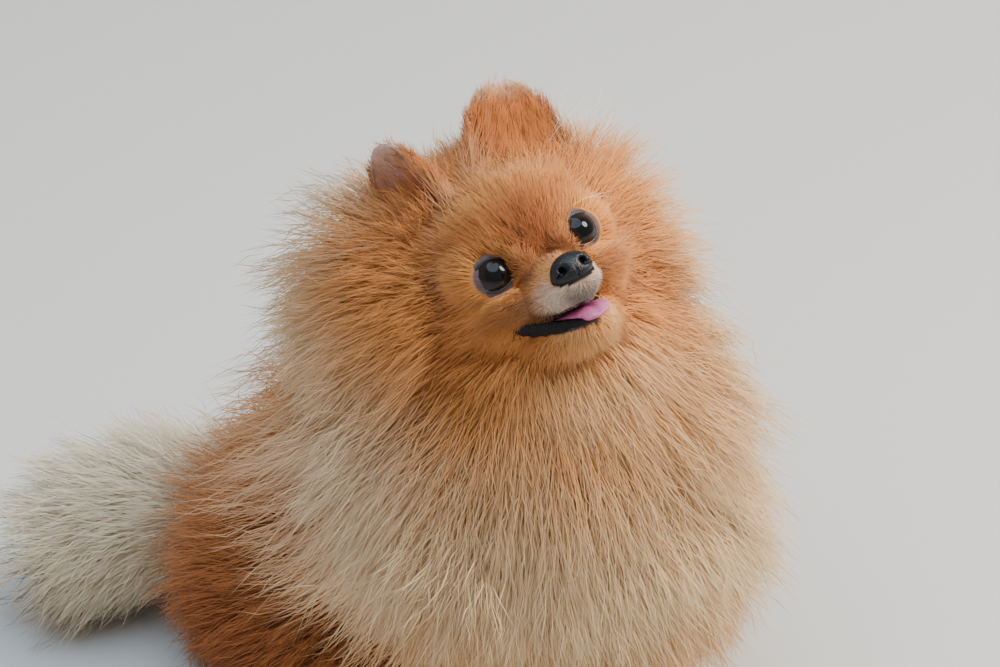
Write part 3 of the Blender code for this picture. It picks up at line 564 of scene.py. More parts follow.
def markings(places, along):
    """The coat's colour for hair rooted at each place, at a share of the way along it."""
    base = blend(ORANGE, CREAM, smooth_step(along, 0.35, 1.0))
    body_colours = painted(places, along, base, BODY_PATCHES)
    face_colours = painted(to_head(places), along, body_colours, HEAD_PATCHES)
    return blend(body_colours, face_colours, smooth_step(lands(places)["head"], -0.016, 0.004))


print("crown colour:", markings(to_room([[0, 0, 0.03]]), np.zeros(1)).round(2))

# %% [markdown]
# ## Hair as closed locks
# A real coat has tens of thousands of hairs to a hand's breadth. Here one closed, three-sided sliver, thinner
# than a match and pointed at both ends, stands for a few of them. Each one rises from its root and bends over
# along the lie of the coat. Neighbours lean to a shared point, as hair does where it clings together. Particle
# hair would be quicker to set up, but it isn't a mesh, so it can't leave Blender with the model.

# %% Growing the locks
LONG_RINGS = ((0.34, 1.0), (0.72, 0.72))  # how far along, share of the width
SHORT_RINGS = ((0.45, 1.0),)
LOCK_THICKNESS = 0.40  # of the width
PATCH = 0.0015  # half the size of a lock's place in the OFBake map
KINK = 0.045  # how far a lock strays from its smooth path, of its length
rng = np.random.default_rng(11)


def lock_faces(rings):
    """The triangles of one lock: three at the root, two for each side between rings, and three at the tip."""
    k = np.arange(3)
    j = (k + 1) % 3
    made = [np.stack((np.zeros(3, int), j + 1, k + 1), axis=1)]
    for start in range(1, 3 * rings - 2, 3):
        made += [np.stack((start + k, start + j, start + j + 3), axis=1)]
        made += [np.stack((start + k, start + j + 3, start + k + 3), axis=1)]
    last = 3 * rings - 2
    made.append(np.stack((last + k, last + j, np.full(3, 3 * rings + 1)), axis=1))
    return np.vstack(made)


def gathered(roots, tips, size, cling):
    """How far each tip moves so that hair in one cell of the given size points to the cell's mean tip, and
    how far the whole cell's tips stray together. Both grow with the cling."""
    strength = cling * rng.uniform(0.2, 1.6, len(roots))
    cells = np.floor((roots + rng.uniform(-0.3, 0.3, roots.shape) * size) / size).astype(np.int64)
    _, cell = np.unique(cells @ np.array((73856093, 19349663, 83492791)), return_inverse=True)
    count = np.bincount(cell)
    mean = np.stack([np.bincount(cell, tips[:, k]) / count for k in range(3)], axis=1)
    stray = wobble(mean.shape, cling) * size
    return (mean[cell] - tips) * strength[:, None] + stray[cell], cell


def grown(roots, rise, sweep, width, rings, clump, cling):
    """Locks whose middle runs root + rise * (2t - t*t) + (sweep + pull) * t*t: it starts along the rise, which
    leads out of the skin, and ends along the sweep, which follows the lie."""
    pull, cell = gathered(roots, roots + rise + sweep, clump, cling)
    across = np.cross(rise, sweep)
    across += rng.normal(0, 0.3, roots.shape) * lengths(across)
    side = unit(across)
    length = lengths(rise + sweep)
    rows, shares = [roots], [0.0]
    for t, share in rings:
        kink = wobble(roots.shape, KINK) * length
        centre = roots + rise * (2 * t - t * t) + (sweep + pull) * t * t + kink
        ahead = unit(rise * (1 - t) + sweep * t)
        up = unit(np.cross(ahead, side))
        half = (width * share / 2)[:, None]
        rows += [centre + side * half, centre + up * half * 2 * LOCK_THICKNESS, centre - side * half]
        shares += [t, t, t]
    rows.append(roots + rise + sweep + pull)
    shares.append(1.0)
    return np.stack(rows, axis=1), np.array(shares), cell, pull


print("triangles in a long lock:", len(lock_faces(2)), "and in a short one:", len(lock_faces(1)))

# %% [markdown]
# ## Lie and length, everywhere at once
# Next comes one answer for every root: how its hair leaves the skin, and where it sweeps to. On the face it
# runs back from the nose, parts round the eyes and lies flat. On the cheeks it stands out and then turns
# sideways, which makes the face look twice as wide as the skull. The mane sprays away from the face and hangs,
# the body's coat runs back and down, and the tail's spreads like a plume.

# %% Distances and random bends


def limb_distance(places, rows):
    """The distance of each point from a limb's surface: least of distance to a section less its half width."""
    rows = through(rows, 4)
    gap = np.linalg.norm(places[:, None] - rows[None, :, :3], axis=2) - rows[None, :, 3:5].max(axis=2)
    return gap.min(axis=1)


def coat_reach(at, way):
    """How far along the normal the face's fluff ends: the far roots s of |(at + s * way) / half| = 1, blended
    as the cube root of their summed cubes, and held below 0.55 * the way from the stop less 3 mm."""
    best = np.zeros(len(at))
    for centre, half in FACE_COAT:
        start = (at - np.array(centre)) / half
        step = way / half
        a, b, c = squares(step), (start * step).sum(axis=1), squares(start) - 1
        inside = b * b - a * c
        best += np.maximum(np.where(inside > 0, (np.sqrt(np.maximum(inside, 0)) - b) / a, 0), 0) ** 3
    most = np.maximum(0.55 * np.linalg.norm(at - STOP, axis=1) - 0.003, 0.0004)
    return (1 / (1 / (best + 1e-12) + 1 / most**3)) ** (1 / 3)


def wobble(shape, size):
    """Random numbers of a normal spread, held within twice its size."""
    return np.clip(rng.normal(0, size, shape), -2 * size, 2 * size)


def strayed(ways, size):
    """Each way, off its course by a random part of its length."""
    return ways + wobble(ways.shape, size) * lengths(ways)


def tangent_to(ways, normals):
    """The part of each direction that runs along the surface."""
    return unit(ways - normals * (ways * normals).sum(axis=1, keepdims=True))


brow, brow_normal = np.array([[0, -0.02, 0.02]]), np.array([[0, -0.6, 0.8]])
print("fluff on the brow, mm:", (coat_reach(brow, brow_normal) * 1000).round(1))

# %% The lips


def lip_line():
    """The lower lip's line from corner to corner, as close points with their half height and thickness. On
    the left it is drawn in, under the fur of the cheek."""
    rows = np.array(LOWER_LIP)
    return through(np.vstack((rows[::-1] * (-1, 1, 1, 1, 1), rows[1:] * (0.60, 0.92, 1.10, 0.6, 0.6))), 5)


def near_lip(at, reach):
    """True where a point of the head lies within reach of the lower lip's line."""
    near = np.zeros(len(at), bool)
    front = np.flatnonzero((at[:, 1] < -0.018) & (at[:, 2] < -0.010) & (at[:, 0] < 0.007))
    line = lip_line()[:, :3]
    near[front] = squares(at[front][:, None] - line).min(axis=1) < reach**2
    return near


def lip_edges(at):
    """How far each point of the head lies ahead of the mouth's corner, and how high the upper and the lower
    lip's edges are there: the corner's height - drop * ahead / reach."""
    ahead = MOUTH_CORNER[0] - at[:, 1]
    return ahead, *(MOUTH_CORNER[1] - drop * ahead / MOUTH_REACH for drop in (LIP_DROP, JAW_DROP))


def lip_gap(at):
    """How far each point of the head lies above the upper lip's edge, or below the lower lip's (as a negative
    number); points between them get 0, and points behind the mouth's corner get a large number."""
    ahead, upper, lower = lip_edges(at)
    above, below = at[:, 2] - upper, at[:, 2] - lower
    gap = np.where(above > 0, above, np.where(below < 0, below, 0))
    return np.where(ahead > 0, gap, np.sign(gap) * np.hypot(gap, ahead) + (gap == 0) * -ahead)


print("points along the lower lip:", len(lip_line()))

# %% The body's coat
SPRAY_CENTRE = HEAD_CENTRE + LOOK * 0.035  # the mane sprays away from here
MANE_ROWS = TRUNK + BIB + NAPE + ((*to_room(RUFF_CENTRE), 0.0, 0.0, RUFF_COAT),)
HEAD = 6
KINDS = {  # the part's number, and how steeply its hair leaves the skin and how steeply it ends, in degrees
    "trunk": (0, 56, 8), "thigh": (1, 56, 10), "mane": (2, 74, 27), "foreleg": (3, 46, 10),
    "forefoot": (4, 22, 4), "hock": (4, 26, 5), "tail": (5, 72, 34)}


def coat_at(places, normals):
    """The rise and sweep of the coat's hair at each root, its depth there, and its part as a number."""
    land = lands(places)
    count = len(places)
    lie = unit(np.stack((places[:, 0] * 4, np.ones(count), np.full(count, -0.55)), axis=1))
    depth = nearby(places, TRUNK, 5)
    part, steep, droop = (np.full(count, value) for value in KINDS["trunk"])

    def lay(kind, weight, new_lie, new_depth):
        """Fades another kind of coat over what is there."""
        nonlocal lie, depth, steep, droop, part
        number, new_steep, new_droop = KINDS[kind]
        lie = unit(blend(lie, unit(np.broadcast_to(new_lie, lie.shape)), weight))
        depth, steep, droop = (mixed(old, new, weight) for old, new in
                               ((depth, new_depth), (steep, new_steep), (droop, new_droop)))
        part = np.where(weight > 0.5, number, part)

    thigh = smooth_step(land["thigh"], -0.006, 0.006)
    lay("thigh", thigh, (0, 0.9, -0.75), nearby(places, mirrored(THIGH), 5))
    spray = unit(places - SPRAY_CENTRE) + np.array((0, 0, -0.50))
    lay("mane", smooth_step(land["mane"], -0.010, 0.010), spray, nearby(places, MANE_ROWS, 5))
    leg = smooth_step(land["foreleg"], -0.004, 0.006)
    fur = nearby(places, mirrored(FORELEG), 5)
    lay("foreleg", leg, (0, 0.35, -1.0), fur)
    lay("forefoot", smooth_step(-places[:, 2], -0.022, -0.016) * leg, (0, -1.0, -0.4), fur)
    rows = mirrored(SHIN + HIND_FOOT)
    rear = smooth_step(-limb_distance(places, rows), -0.004, 0.0) * (1 - leg)
    rear = rear * smooth_step(np.abs(places[:, 0]), 0.030, 0.040)
    lay("hock", rear, (0, -1.0, -0.35), nearby(places, rows, 5))
    path = through(np.array(TAIL)[:, :3], 4)
    nearest = squares(places[:, None] - path[None]).argmin(axis=1)
    along_tail = unit(np.gradient(path, axis=0))[nearest] + np.array((0, 0, -0.1))
    plume = smooth_step(land["tail"], -0.004, 0.004) * smooth_step(-limb_distance(places, TAIL), -0.006, -0.001)
    lay("tail", plume, along_tail, nearby(places, TAIL, 5) * 1.05)
    steep, droop = np.radians(steep)[:, None], np.radians(droop)[:, None]
    lie = tangent_to(lie, normals)
    half = depth[:, None] / (np.sin(steep) + np.sin(droop))
    rise = half * (normals * np.sin(steep) + lie * np.cos(steep))
    sweep = half * (normals * np.sin(droop) + lie * np.cos(droop))

    head_rise, head_sweep, fluff = head_coat(to_head(places), normals @ HEAD_AXES.T)
    is_head = smooth_step(land["head"], -0.015, 0.006)
    rise = blend(rise, head_rise @ HEAD_AXES, is_head)
    sweep = blend(sweep, head_sweep @ HEAD_AXES, is_head)
    return rise, sweep, mixed(depth, fluff, is_head), np.where(is_head > 0.5, HEAD, part)


print("kinds of coat:", len(KINDS) + 1)

# %% The head's coat
NOSE_CENTRE = np.array((0.0, -0.0562, -0.0085))
NOSE_ROOT = np.array((0.0, -0.060, -0.012))  # the face's hair runs away from here
FLUFF_MIDDLE = (0.0, 0.020, -0.002)
EAR_HOLLOW = (-0.034, -0.002, 0.024)
BY_EYE, BY_EAR = 0.012, 0.013  # how far round an eye and round that hollow hair is shorter
ROOM_FORWARD = HEAD_AXES @ np.array((0.0, -1.0, 0.0))
CHEEK_HAIR, RIM_HAIR = 0.0115, 0.030  # lengths; the rim's is added to the cheek's
CROWN_HAIR, THROAT_HAIR, CHIN_HAIR, MUZZLE_HAIR = 0.0100, 0.042, 0.0125, 0.0050


def head_coat(at, way):
    """The same on the head, in its own frame. Hair rises to the outline of the fluff, FACE_COAT. In front it
    then lies away from the nose. Towards the rim it grows longer and turns outwards, back and down."""
    throat = smooth_step(-at[:, 2], 0.024, 0.038)
    chin = throat * (1 - smooth_step(at[:, 1], -0.034, -0.018))
    muzzle = smooth_step(-at[:, 1], 0.026, 0.038) * (1 - throat)
    reach = coat_reach(at, way) * (1 - throat)
    end = at + way * reach[:, None]
    offset = end - FLUFF_MIDDLE
    angle = np.degrees(np.arctan2(np.hypot(offset[:, 0], offset[:, 2]), -offset[:, 1]))
    rim = smooth_step(angle, 32, 90)
    crown = smooth_step(end[:, 2], 0.016, 0.034) * (1 - smooth_step(np.abs(end[:, 0]), 0.038, 0.050))
    by_stop = smooth_step(np.linalg.norm(at - STOP, axis=1), 0.004, 0.026)
    long = CHEEK_HAIR * (0.45 + 0.55 * by_stop) + RIM_HAIR * rim**1.3
    for length, share in ((CROWN_HAIR + 0.010 * rim, crown), (THROAT_HAIR, throat), (CHIN_HAIR, chin),
                          (MUZZLE_HAIR, muzzle)):
        long = mixed(long, length, share)
    away = at - NOSE_ROOT
    for side in (1, -1):
        gap = at - EYE_PLACE * (side, 1, 1)
        nearness = np.exp(-squares(gap) / BY_EYE**2)[:, None]
        away = unit(away) + 2.4 * unit(gap) * nearness
        long = long * (1 - 0.45 * nearness[:, 0])
        reach = reach * (1 - 0.80 * nearness[:, 0])
    by_ear = np.exp(-squares(at - EAR_HOLLOW) / BY_EAR**2)  # keeps the ear's hollow open
    long = long * (1 - 0.45 * by_ear)
    reach = reach * (1 - 0.65 * by_ear)
    gap = lip_gap(at)
    lips = 1 - smooth_step(np.abs(gap), 0.001, 0.009)
    long = long * (1 - 0.50 * lips)
    reach = reach * (1 - 0.90 * lips)
    away = unit(away) + (0, 0, -0.9) * ((1 - smooth_step(gap, 0.001, 0.007)) * (gap > 0))[:, None]
    lie = tangent_to(away, way)
    down = -HEAD_AXES[:, 2]
    outward = unit(end * (1, 0, 1)) * (1.0 - 0.60 * crown[:, None]) + (0, 0.38, 0)
    outward = outward + down * (0.35 * (1 - crown))[:, None]
    hang = at * (14, 0, 0) + ROOM_FORWARD * 0.65 + down * 0.85
    turned = blend(unit(outward), unit(hang), throat)
    loose = np.maximum(rim**0.8, throat * (1 - chin))[:, None]
    lift = np.radians(22 + 10 * rim - 8 * muzzle)[:, None]
    close = way * np.sin(lift) + lie * np.cos(lift)
    sweep = unit(mixed(close, unit(turned), loose)) * (long * 0.72)[:, None]
    start = way * 0.20 + lie * 0.26 * (1 - loose) + turned * 0.20 * loose
    rise = way * (reach * 0.9)[:, None] + long[:, None] * start
    return rise, sweep, long + reach * 0.6


print("hair on the crown, the cheek and the rim, mm:", CROWN_HAIR * 1000, CHEEK_HAIR * 1000, RIM_HAIR * 1000)

# %% [markdown]
# ## An unwrap of the skin
# Each lock needs a place on a flat map, so that its colour can be baked. The map is an unwrap of the skin
# itself, as if the pelt were cut and laid out. A lock keeps a small patch there, where its root is. One could
# unwrap every lock, but a million tiny islands would leave none with enough room.

# %% Unwrap a skin and scatter roots on it
ROOTS = 420000
CUT_ANGLE = math.radians(66)


def unwrapped(obj):
    """A UV map named OFBake, from the skin's own shape cut where it turns by more than CUT_ANGLE."""
    bpy.context.view_layer.objects.active = obj
    obj.select_set(True)
    bpy.ops.object.mode_set(mode="EDIT")
    bpy.ops.mesh.select_all(action="SELECT")
    bpy.ops.uv.smart_project(angle_limit=CUT_ANGLE, island_margin=0.002)
    bpy.ops.object.mode_set(mode="OBJECT")
    obj.select_set(False)
    obj.data.uv_layers[0].name = "OFBake"


def scattered(mesh, count):
    """Random places on a mesh, evenly by area, with their normals and their places on its map."""
    mesh.calc_loop_triangles()
    corner = numbers(mesh.loop_triangles, "vertices", 3, np.int32)
    loop = numbers(mesh.loop_triangles, "loops", 3, np.int32)
    co = numbers(mesh.vertices, "co", 3).astype(float)[corner]
    normal = numbers(mesh.vertices, "normal", 3).astype(float)[corner]
    uv = numbers(mesh.uv_layers["OFBake"].uv, "vector", 2).astype(float)[loop]
    area = np.linalg.norm(np.cross(co[:, 1] - co[:, 0], co[:, 2] - co[:, 0]), axis=1)
    picked = rng.choice(len(area), size=count, p=area / area.sum())
    u, v = np.sqrt(rng.random(count)), rng.random(count)
    weights = np.stack((1 - u, u * (1 - v), u * v), axis=1)[:, :, None]
    place, facing, spot = ((values[picked] * weights).sum(axis=1) for values in (co, normal, uv))
    return place, unit(facing), spot


unwrapped(skin)
roots, normals, root_uv = scattered(skin.data, ROOTS)
rise, sweep, depth, part = coat_at(roots, normals)
print("roots in each part:", np.bincount(part))
print("coat depth, mm:", [round(float(depth[part == k].mean()) * 1000, 1) for k in range(7)])

# %% [markdown]
# ## One maker for every hide
# Hair, skin, nose and claw differ in gloss and grain, and little else. One function makes them all: a painted
# colour, made uneven by noise, and pebbles where the hide is bare.

# %% Materials


def hide(name, roughness, gloss, size, detail, low, high, bump=0, strength=0.8, pebbles=0, grain=False):
    """Hair, skin or horn: the painted colour times noise between low and high. A bump height raises pebbles,
    or else that noise. The noise lies in the object's own coordinates, or in those stored as the grain."""
    made = bpy.data.materials.new(name)
    made.use_nodes = True
    nodes, links = made.node_tree.nodes, made.node_tree.links
    shader = nodes["Principled BSDF"]
    shader.inputs["Roughness"].default_value = roughness
    shader.inputs["Specular IOR Level"].default_value = gloss

    def add(kind, **values):
        """A node of the kind, with values in its sockets."""
        new = nodes.new("ShaderNode" + kind)
        for socket, value in values.items():
            new.inputs[socket.replace("_", " ")].default_value = value
        return new

    def join(source, output, target, socket):
        """A link between two nodes."""
        links.new(source.outputs[output], target.inputs[socket])

    colour, place = add("Attribute"), add("Attribute" if grain else "TexCoord")
    colour.attribute_name = "coat_colour"
    way = "Object"
    if grain:
        place.attribute_name, way = "grain", "Vector"
    noise = add("TexNoise", Scale=size, Detail=detail)
    span = add("MapRange", To_Min=low, To_Max=high)
    scaled = add("VectorMath")
    scaled.operation = "SCALE"
    join(place, way, noise, "Vector")
    join(noise, "Fac", span, "Value")
    join(colour, "Color", scaled, "Vector")
    join(span, "Result", scaled, "Scale")
    join(scaled, "Vector", shader, "Base Color")
    if bump:
        relief = add("Bump", Strength=strength, Distance=bump)
        if pebbles:
            cells = add("TexVoronoi", Scale=pebbles)
            join(place, way, cells, "Vector")
            join(cells, "Distance", relief, "Height")
            relief.invert = True
        else:
            join(noise, "Fac", relief, "Height")
        join(relief, "Normal", shader, "Normal")
    return made


def bare_hide(name, roughness, scale, depth, gloss=0.5):
    """Bare hide: pebbles of the given scale and depth."""
    return hide(name, roughness, gloss, scale * 0.4, 4, 0.7, 1.3, depth, 0.8, scale)


HAIR = hide("hair", 0.72, 0.14, 420, 3, 0.88, 1.12)
for socket, value in (("Sheen Weight", 0.08), ("Sheen Roughness", 0.5)):  # the soft gloss of clean fur
    HAIR.node_tree.nodes["Principled BSDF"].inputs[socket].default_value = value
print("nodes in the hair's material:", len(HAIR.node_tree.nodes))

# %% [markdown]
# ## Planting the coat
# Every part gets its own number of locks, their width, and how strongly they cling. The deep mane has the
# longest and widest. The face has the finest, and where its coat is short one ring to a lock is enough.

# %% Colour and bounds of the locks
PIECE_TRIANGLES = 190000
FREE = 0.006  # how far hair may pass the solids' box before it is drawn back
BEND, LEAST, BEND_SPAN = 0.003, 0.0004, 0.0026  # heights over the floor
SOFTEN = 0.62  # how far the locks' normals lean towards the skin's
WIDTHS = (0.7, 1.3)  # from lock to lock, of the width asked for
WISP_START = (0.30, 0.78)  # where a wisp leaves its lock, of the lock's length
WISP_LENGTH = (0.26, 0.44)


def paint(obj, colours):
    """Stores one colour, or one for each point of the mesh, as the attribute that the materials read."""
    layer = obj.data.color_attributes.new(name="coat_colour", type="FLOAT_COLOR", domain="POINT")
    values = np.ones((len(obj.data.vertices), 4), np.float32)
    values[:, :3] = np.clip(colours, 0, 1)
    layer.data.foreach_set("color", values.ravel())


def above_floor(places):
    """Hair that would pass the floor bends along it: below BEND the height fades towards LEAST, as
    LEAST + BEND_SPAN * exp((z - BEND) / BEND_SPAN)."""
    z = places[..., 2]
    places[..., 2] = np.where(z < BEND, LEAST + BEND_SPAN * np.exp((np.minimum(z, BEND) - BEND) / BEND_SPAN), z)
    return places


def held_in(points):
    """Hair that strays more than FREE beyond the solids' box is drawn back: past it, a way of e becomes
    FREE * (1 - exp(-e / FREE))."""
    low, high = np.array(CAD_BOX[0]), np.array(CAD_BOX[1])
    over = np.maximum(points - (high + FREE), 0)
    under = np.maximum(low - FREE - points, 0)
    return points - over + FREE * (1 - np.exp(-over / FREE)) + under - FREE * (1 - np.exp(-under / FREE))


def lock_colours(roots, shares, cell, colour_of):
    """The colour along each lock, a little lighter or darker from lock to lock and clump to clump, and in
    the shade near its root."""
    count = len(roots)
    tone = 1 + rng.normal(0, 0.05, count) + rng.normal(0, 0.05, cell.max() + 1)[cell]
    shade = 0.86 + 0.14 * np.minimum(1.0, shares / 0.4)
    return np.stack([colour_of(roots, np.full(count, share)) * (dim * tone[:, None])
                     for share, dim in zip(shares, shade)], axis=1)


print("box of the solids:", [[round(float(v), 4) for v in corner] for corner in CAD_BOX])

# %% Wisps, pieces and planting


def parted(roots, rise, over, width, clump, wisps, colour_of):
    """Wisps that leave some locks on the way, each at its own slant: the locks chosen, and the wisps' points,
    shares and colours."""
    chosen = rng.integers(0, len(roots), int(len(roots) * wisps))
    t = rng.uniform(*WISP_START, len(chosen))[:, None]
    out, over = rise[chosen], over[chosen]
    start = roots[chosen] + out * (2 * t - t * t) + over * t * t
    size = lengths(out + over) * rng.uniform(*WISP_LENGTH, t.shape)
    ahead = unit(unit(out * (1 - t) + over * t) + rng.normal(0, 0.22, out.shape))
    bend = unit(unit(over) + rng.normal(0, 0.34, out.shape))
    tips, marks, _, _ = grown(start, ahead * size * 0.5, bend * size * 0.5, width[chosen] * 0.8,
                              SHORT_RINGS, clump, 0.1)
    along = t + (1 - t) * marks[None, :]
    shade = np.stack([colour_of(roots[chosen], along[:, k]) for k in range(len(marks))], axis=1)
    return chosen, tips, marks, shade * (1 + rng.normal(0, 0.06, (len(chosen), 1, 1)))


def pieces_of(name, slot, places, shares, colours, spots, ways):
    """Puts locks in as many pieces as keep each under PIECE_TRIANGLES. Their normals lean towards the way the
    skin faces, which shades the coat as one soft body."""
    rings = (len(shares) - 2) // 3
    faces = lock_faces(rings)
    across = np.append(np.append(0.0, np.tile((-1.0, 0.0, 1.0), rings)), 0.0)
    patch = np.stack((across, shares * 2 - 1), axis=1) * PATCH
    pieces = -(-len(places) * len(faces) // PIECE_TRIANGLES)
    for k, chunk in enumerate(np.array_split(np.argsort(places[:, 0, 0]), pieces)):
        index = faces[None] + (np.arange(len(chunk)) * len(shares))[:, None, None]
        spread = held_in(above_floor(places[chunk]).reshape(-1, 3) + SHIFT)
        obj = object_from(name + (f"_{k + 1}" if pieces > 1 else ""), spread, (), index.reshape(-1, 3))
        layer = obj.data.uv_layers.new(name="OFBake")
        layer.uv.foreach_set("vector", flat((spots[chunk][:, None] + patch[None])[:, faces.ravel()]))
        paint(obj, colours[chunk].reshape(-1, 3))
        own = numbers(obj.data.vertices, "normal", 3)
        lean = unit(own * (1 - SOFTEN) + np.repeat(ways[chunk], len(shares), axis=0) * SOFTEN)
        obj.data.normals_split_custom_set_from_vertices(lean)
        obj.data.materials.append(HAIR)
        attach(obj, "root")
    return len(places) * len(faces)


def plant(name, slot, roots, facing, uv, rise, sweep, width, rings, clump, cling, wisps=0, colour_of=markings):
    """Grows locks on their roots, with some wisps to a lock, and returns how many triangles they have."""
    full = width * rng.uniform(*WIDTHS, len(roots))
    places, shares, cell, pull = grown(roots, rise, sweep, full, rings, clump, cling)
    total = pieces_of(name, slot, places, shares, lock_colours(roots, shares, cell, colour_of), uv, facing)
    if wisps:
        chosen, *thin = parted(roots, rise, sweep + pull, full, clump, wisps, colour_of)
        total += pieces_of(name + "_wisps", slot, *thin, uv[chosen], facing[chosen])
    length = np.linalg.norm(rise + sweep, axis=1).mean() * 1000
    print(f"{name}: {len(roots)} locks, {total} triangles, mean length {length:.0f} mm")
    return total


print("a piece holds at most", PIECE_TRIANGLES // len(lock_faces(2)), "long locks")

# %% Plant them
PARTS = {  # number of the part, locks, width, rings, clump, cling, wisps to a lock, slot
    "torso": (0, 6000, 0.00052, LONG_RINGS, 0.010, 0.36, 1.2, "coat_red"),
    "thighs": (1, 5500, 0.00050, LONG_RINGS, 0.009, 0.36, 1.2, "coat_red"),
    "mane": (2, 22000, 0.00050, LONG_RINGS, 0.011, 0.32, 2.1, "coat_orange"),
    "forelegs": (3, 3000, 0.00050, LONG_RINGS, 0.006, 0.30, 0, "coat_cream"),
    "feet": (4, 5000, 0.00040, SHORT_RINGS, 0.003, 0.20, 0, "coat_cream"),
    "tail": (5, 6500, 0.00050, LONG_RINGS, 0.008, 0.28, 2.0, "coat_cream"),
    "cheeks": (HEAD, 18000, 0.00038, LONG_RINGS, 0.007, 0.24, 0.8, "coat_orange"),
    "face": (HEAD, 34000, 0.00029, SHORT_RINGS, 0.004, 0.13, 0, "coat_orange"),
}
LONG_FROM = 0.0135  # the length at which face fur becomes cheek fluff
FULL_SHARE = 0.7  # this share of the locks is nearly as long as the coat; the others are undercoat
FULL_LENGTHS, UNDERCOAT = (0.86, 1.0), (0.55, 0.86)
SUNK = 0.0008  # the roots' depth under the skin
EYE_BARE = 0.0087
EYE_STRETCH = (1.02, 1, 0.95)
NOSE_BARE = (0.0098, 0.0080, 0.0070)


def eye_gap(at, side):
    """How far each point of the head lies from the middle of an eye's opening, divided by the stretch."""
    return np.linalg.norm((at - EYE_PLACE * (side, 1, 1) - (side * 0.0012, -0.005, 0)) / EYE_STRETCH, axis=1)


def bare(places):
    """Where no coat grows: the eyes' openings, the nose, the lips and mouth, and the soles."""
    at = to_head(places)
    none = places[:, 2] < 0.0012
    for side in (1, -1):
        none |= eye_gap(at, side) < EYE_BARE
    none |= squares((at - NOSE_CENTRE) / NOSE_BARE) < 1
    within = (lip_gap(at) == 0) & (at[:, 1] < MOUTH_CORNER[0] - 0.010)
    return none | within | near_lip(at, 0.0014)


free = ~bare(roots)
coat_triangles = 0
for name, (number, wanted, width, rings, clump, cling, wisps, slot) in PARTS.items():
    chosen = free & (part == number)
    if name in ("cheeks", "face"):
        chosen &= (depth > LONG_FROM) == (name == "cheeks")
    index = rng.permutation(np.flatnonzero(chosen))[:wanted]
    count = len(index)
    full = rng.random(count) < FULL_SHARE
    full = np.where(full, rng.uniform(*FULL_LENGTHS, count), rng.uniform(*UNDERCOAT, count))[:, None]
    out = strayed(rise[index] * full, 0.07)
    over = strayed(sweep[index] * full, 0.09 if number == HEAD else 0.11)
    sunk = roots[index] - normals[index] * SUNK
    coat_triangles += plant(f"coat_{name}", slot, sunk, normals[index], root_uv[index], out, over, width, rings,
                            clump, cling, wisps)
print("triangles in the coat:", coat_triangles)

# %% [markdown]
# ## The skin's own finish
# Skin shows only round the eyes, on the lips and deep in the parting of the hair. It wears the same markings,
# a little darker, since the light that reaches it has come through the coat. Its bump is a fine grain drawn
# out along the lie of the hair, as the shortest fur looks from a step away.

# %% Finish the skin
# The mouth's inside, near black: partly its dark lining, partly painted shade of the cavity
MOUTH_LINING_AND_SHADE = (0.030, 0.012, 0.013)
LID_SKIN = (0.120, 0.074, 0.078)
NOSE_DARK = (0.0100, 0.0085, 0.0076)  # half sizes of the dark skin round the nose


def grain_of(places):
    """Coordinates for the fibres: turns round the muzzle's axis, finely, and the way back from the nose."""
    at = to_head(places) - NOSE_ROOT
    turn = np.arctan2(at[:, 0], at[:, 2])
    back = np.linalg.norm(at, axis=1)
    return np.stack((np.cos(turn) * 60, np.sin(turn) * 60, back * 160), axis=1)


def skin_colours(places):
    """The markings, darkened, with the lips and the mouth's inside, partly painted shade, painted over them."""
    at = to_head(places)
    colours = markings(places, np.zeros(len(places))) * 0.86
    ahead, upper, lower = lip_edges(at)
    mouth = (ahead > -0.001) & (at[:, 2] < upper + 0.0006) & (at[:, 2] > lower - 0.0006)
    # The mouth's inside is painted near black: in part painted shade
    colours[mouth] = MOUTH_LINING_AND_SHADE
    colours[near_lip(at, 0.0032) & (at[:, 2] < upper + 0.0012) & ~mouth] = GREY_BLACK
    for side in (1, -1):
        colours = blend(colours, LID_SKIN, 1 - smooth_step(eye_gap(at, side), 0.0084, 0.0096))
    colours[squares((at - NOSE_CENTRE) / NOSE_DARK) < 1] = (0.004, 0.004, 0.005)
    return colours


points = points_of(skin).astype(float)
paint(skin, skin_colours(points))
grain = skin.data.attributes.new("grain", "FLOAT_VECTOR", "POINT")
grain.data.foreach_set("vector", flat(grain_of(points)))
skin.data.materials.clear()
skin.data.materials.append(hide("skin", 0.72, 0.25, 1.0, 2, 0.65, 1.25, 0.0006, 0.6, grain=True))
moved_to(skin, points + SHIFT)
skin.data.shade_smooth()
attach(skin, "root")
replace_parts(skin, "neck", "torso", "tail", "head", "jaw")
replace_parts(skin, "foreleg_left", "foreleg_right", "hindleg_left", "hindleg_right")
print("skin points:", len(points))

# %% [markdown]
# ## The eyes and their lids
# A pomeranian's eye is almost black, round and wet. Nearly all of the life in it is the reflection, so the
# ball has a clear bulge over the iris, and its gloss is left to the lights. The lid is a bare rim that hugs
# the ball: black at its edge, then grey-violet skin. It is a ring swept round the opening, on the ball itself,
# so it can't float off it or cut into it.

# %% Eyes
EYE_TURN = math.radians(14)
CORNEA = 0.0006
FOLD = 0.00025  # the height of the lid's wrinkles
OPENING = (0.0081, 0.0063)  # half width, half height
LID_BAND = 0.46  # radians of the ball that the lid covers
EYE_FALL = np.linspace(0.02, math.pi - 0.05, 48)  # the eyeball's rings, as angles from its axis
EYE_SIDES = 64
LID_TURN = ring_of(72)[:, None]
LID_PROFILE = (  # share of the band, height over the ball in mm
    (0.00, -0.30), (0.00, 0.20), (0.05, 0.48), (0.14, 0.72), (0.30, 0.98), (0.55, 1.22), (0.80, 1.10),
    (1.00, 0.40), (1.00, -1.20), (0.55, -0.60),
)


def eye_axes(side):
    """The eye's own directions: across it, up it, and out of it."""
    out = unit(np.array((side * math.sin(EYE_TURN), -math.cos(EYE_TURN), 0.03)))
    up = unit(np.array((0, 0, 1.0)) - out * out[2])
    return np.stack((np.cross(up, out), up, out))


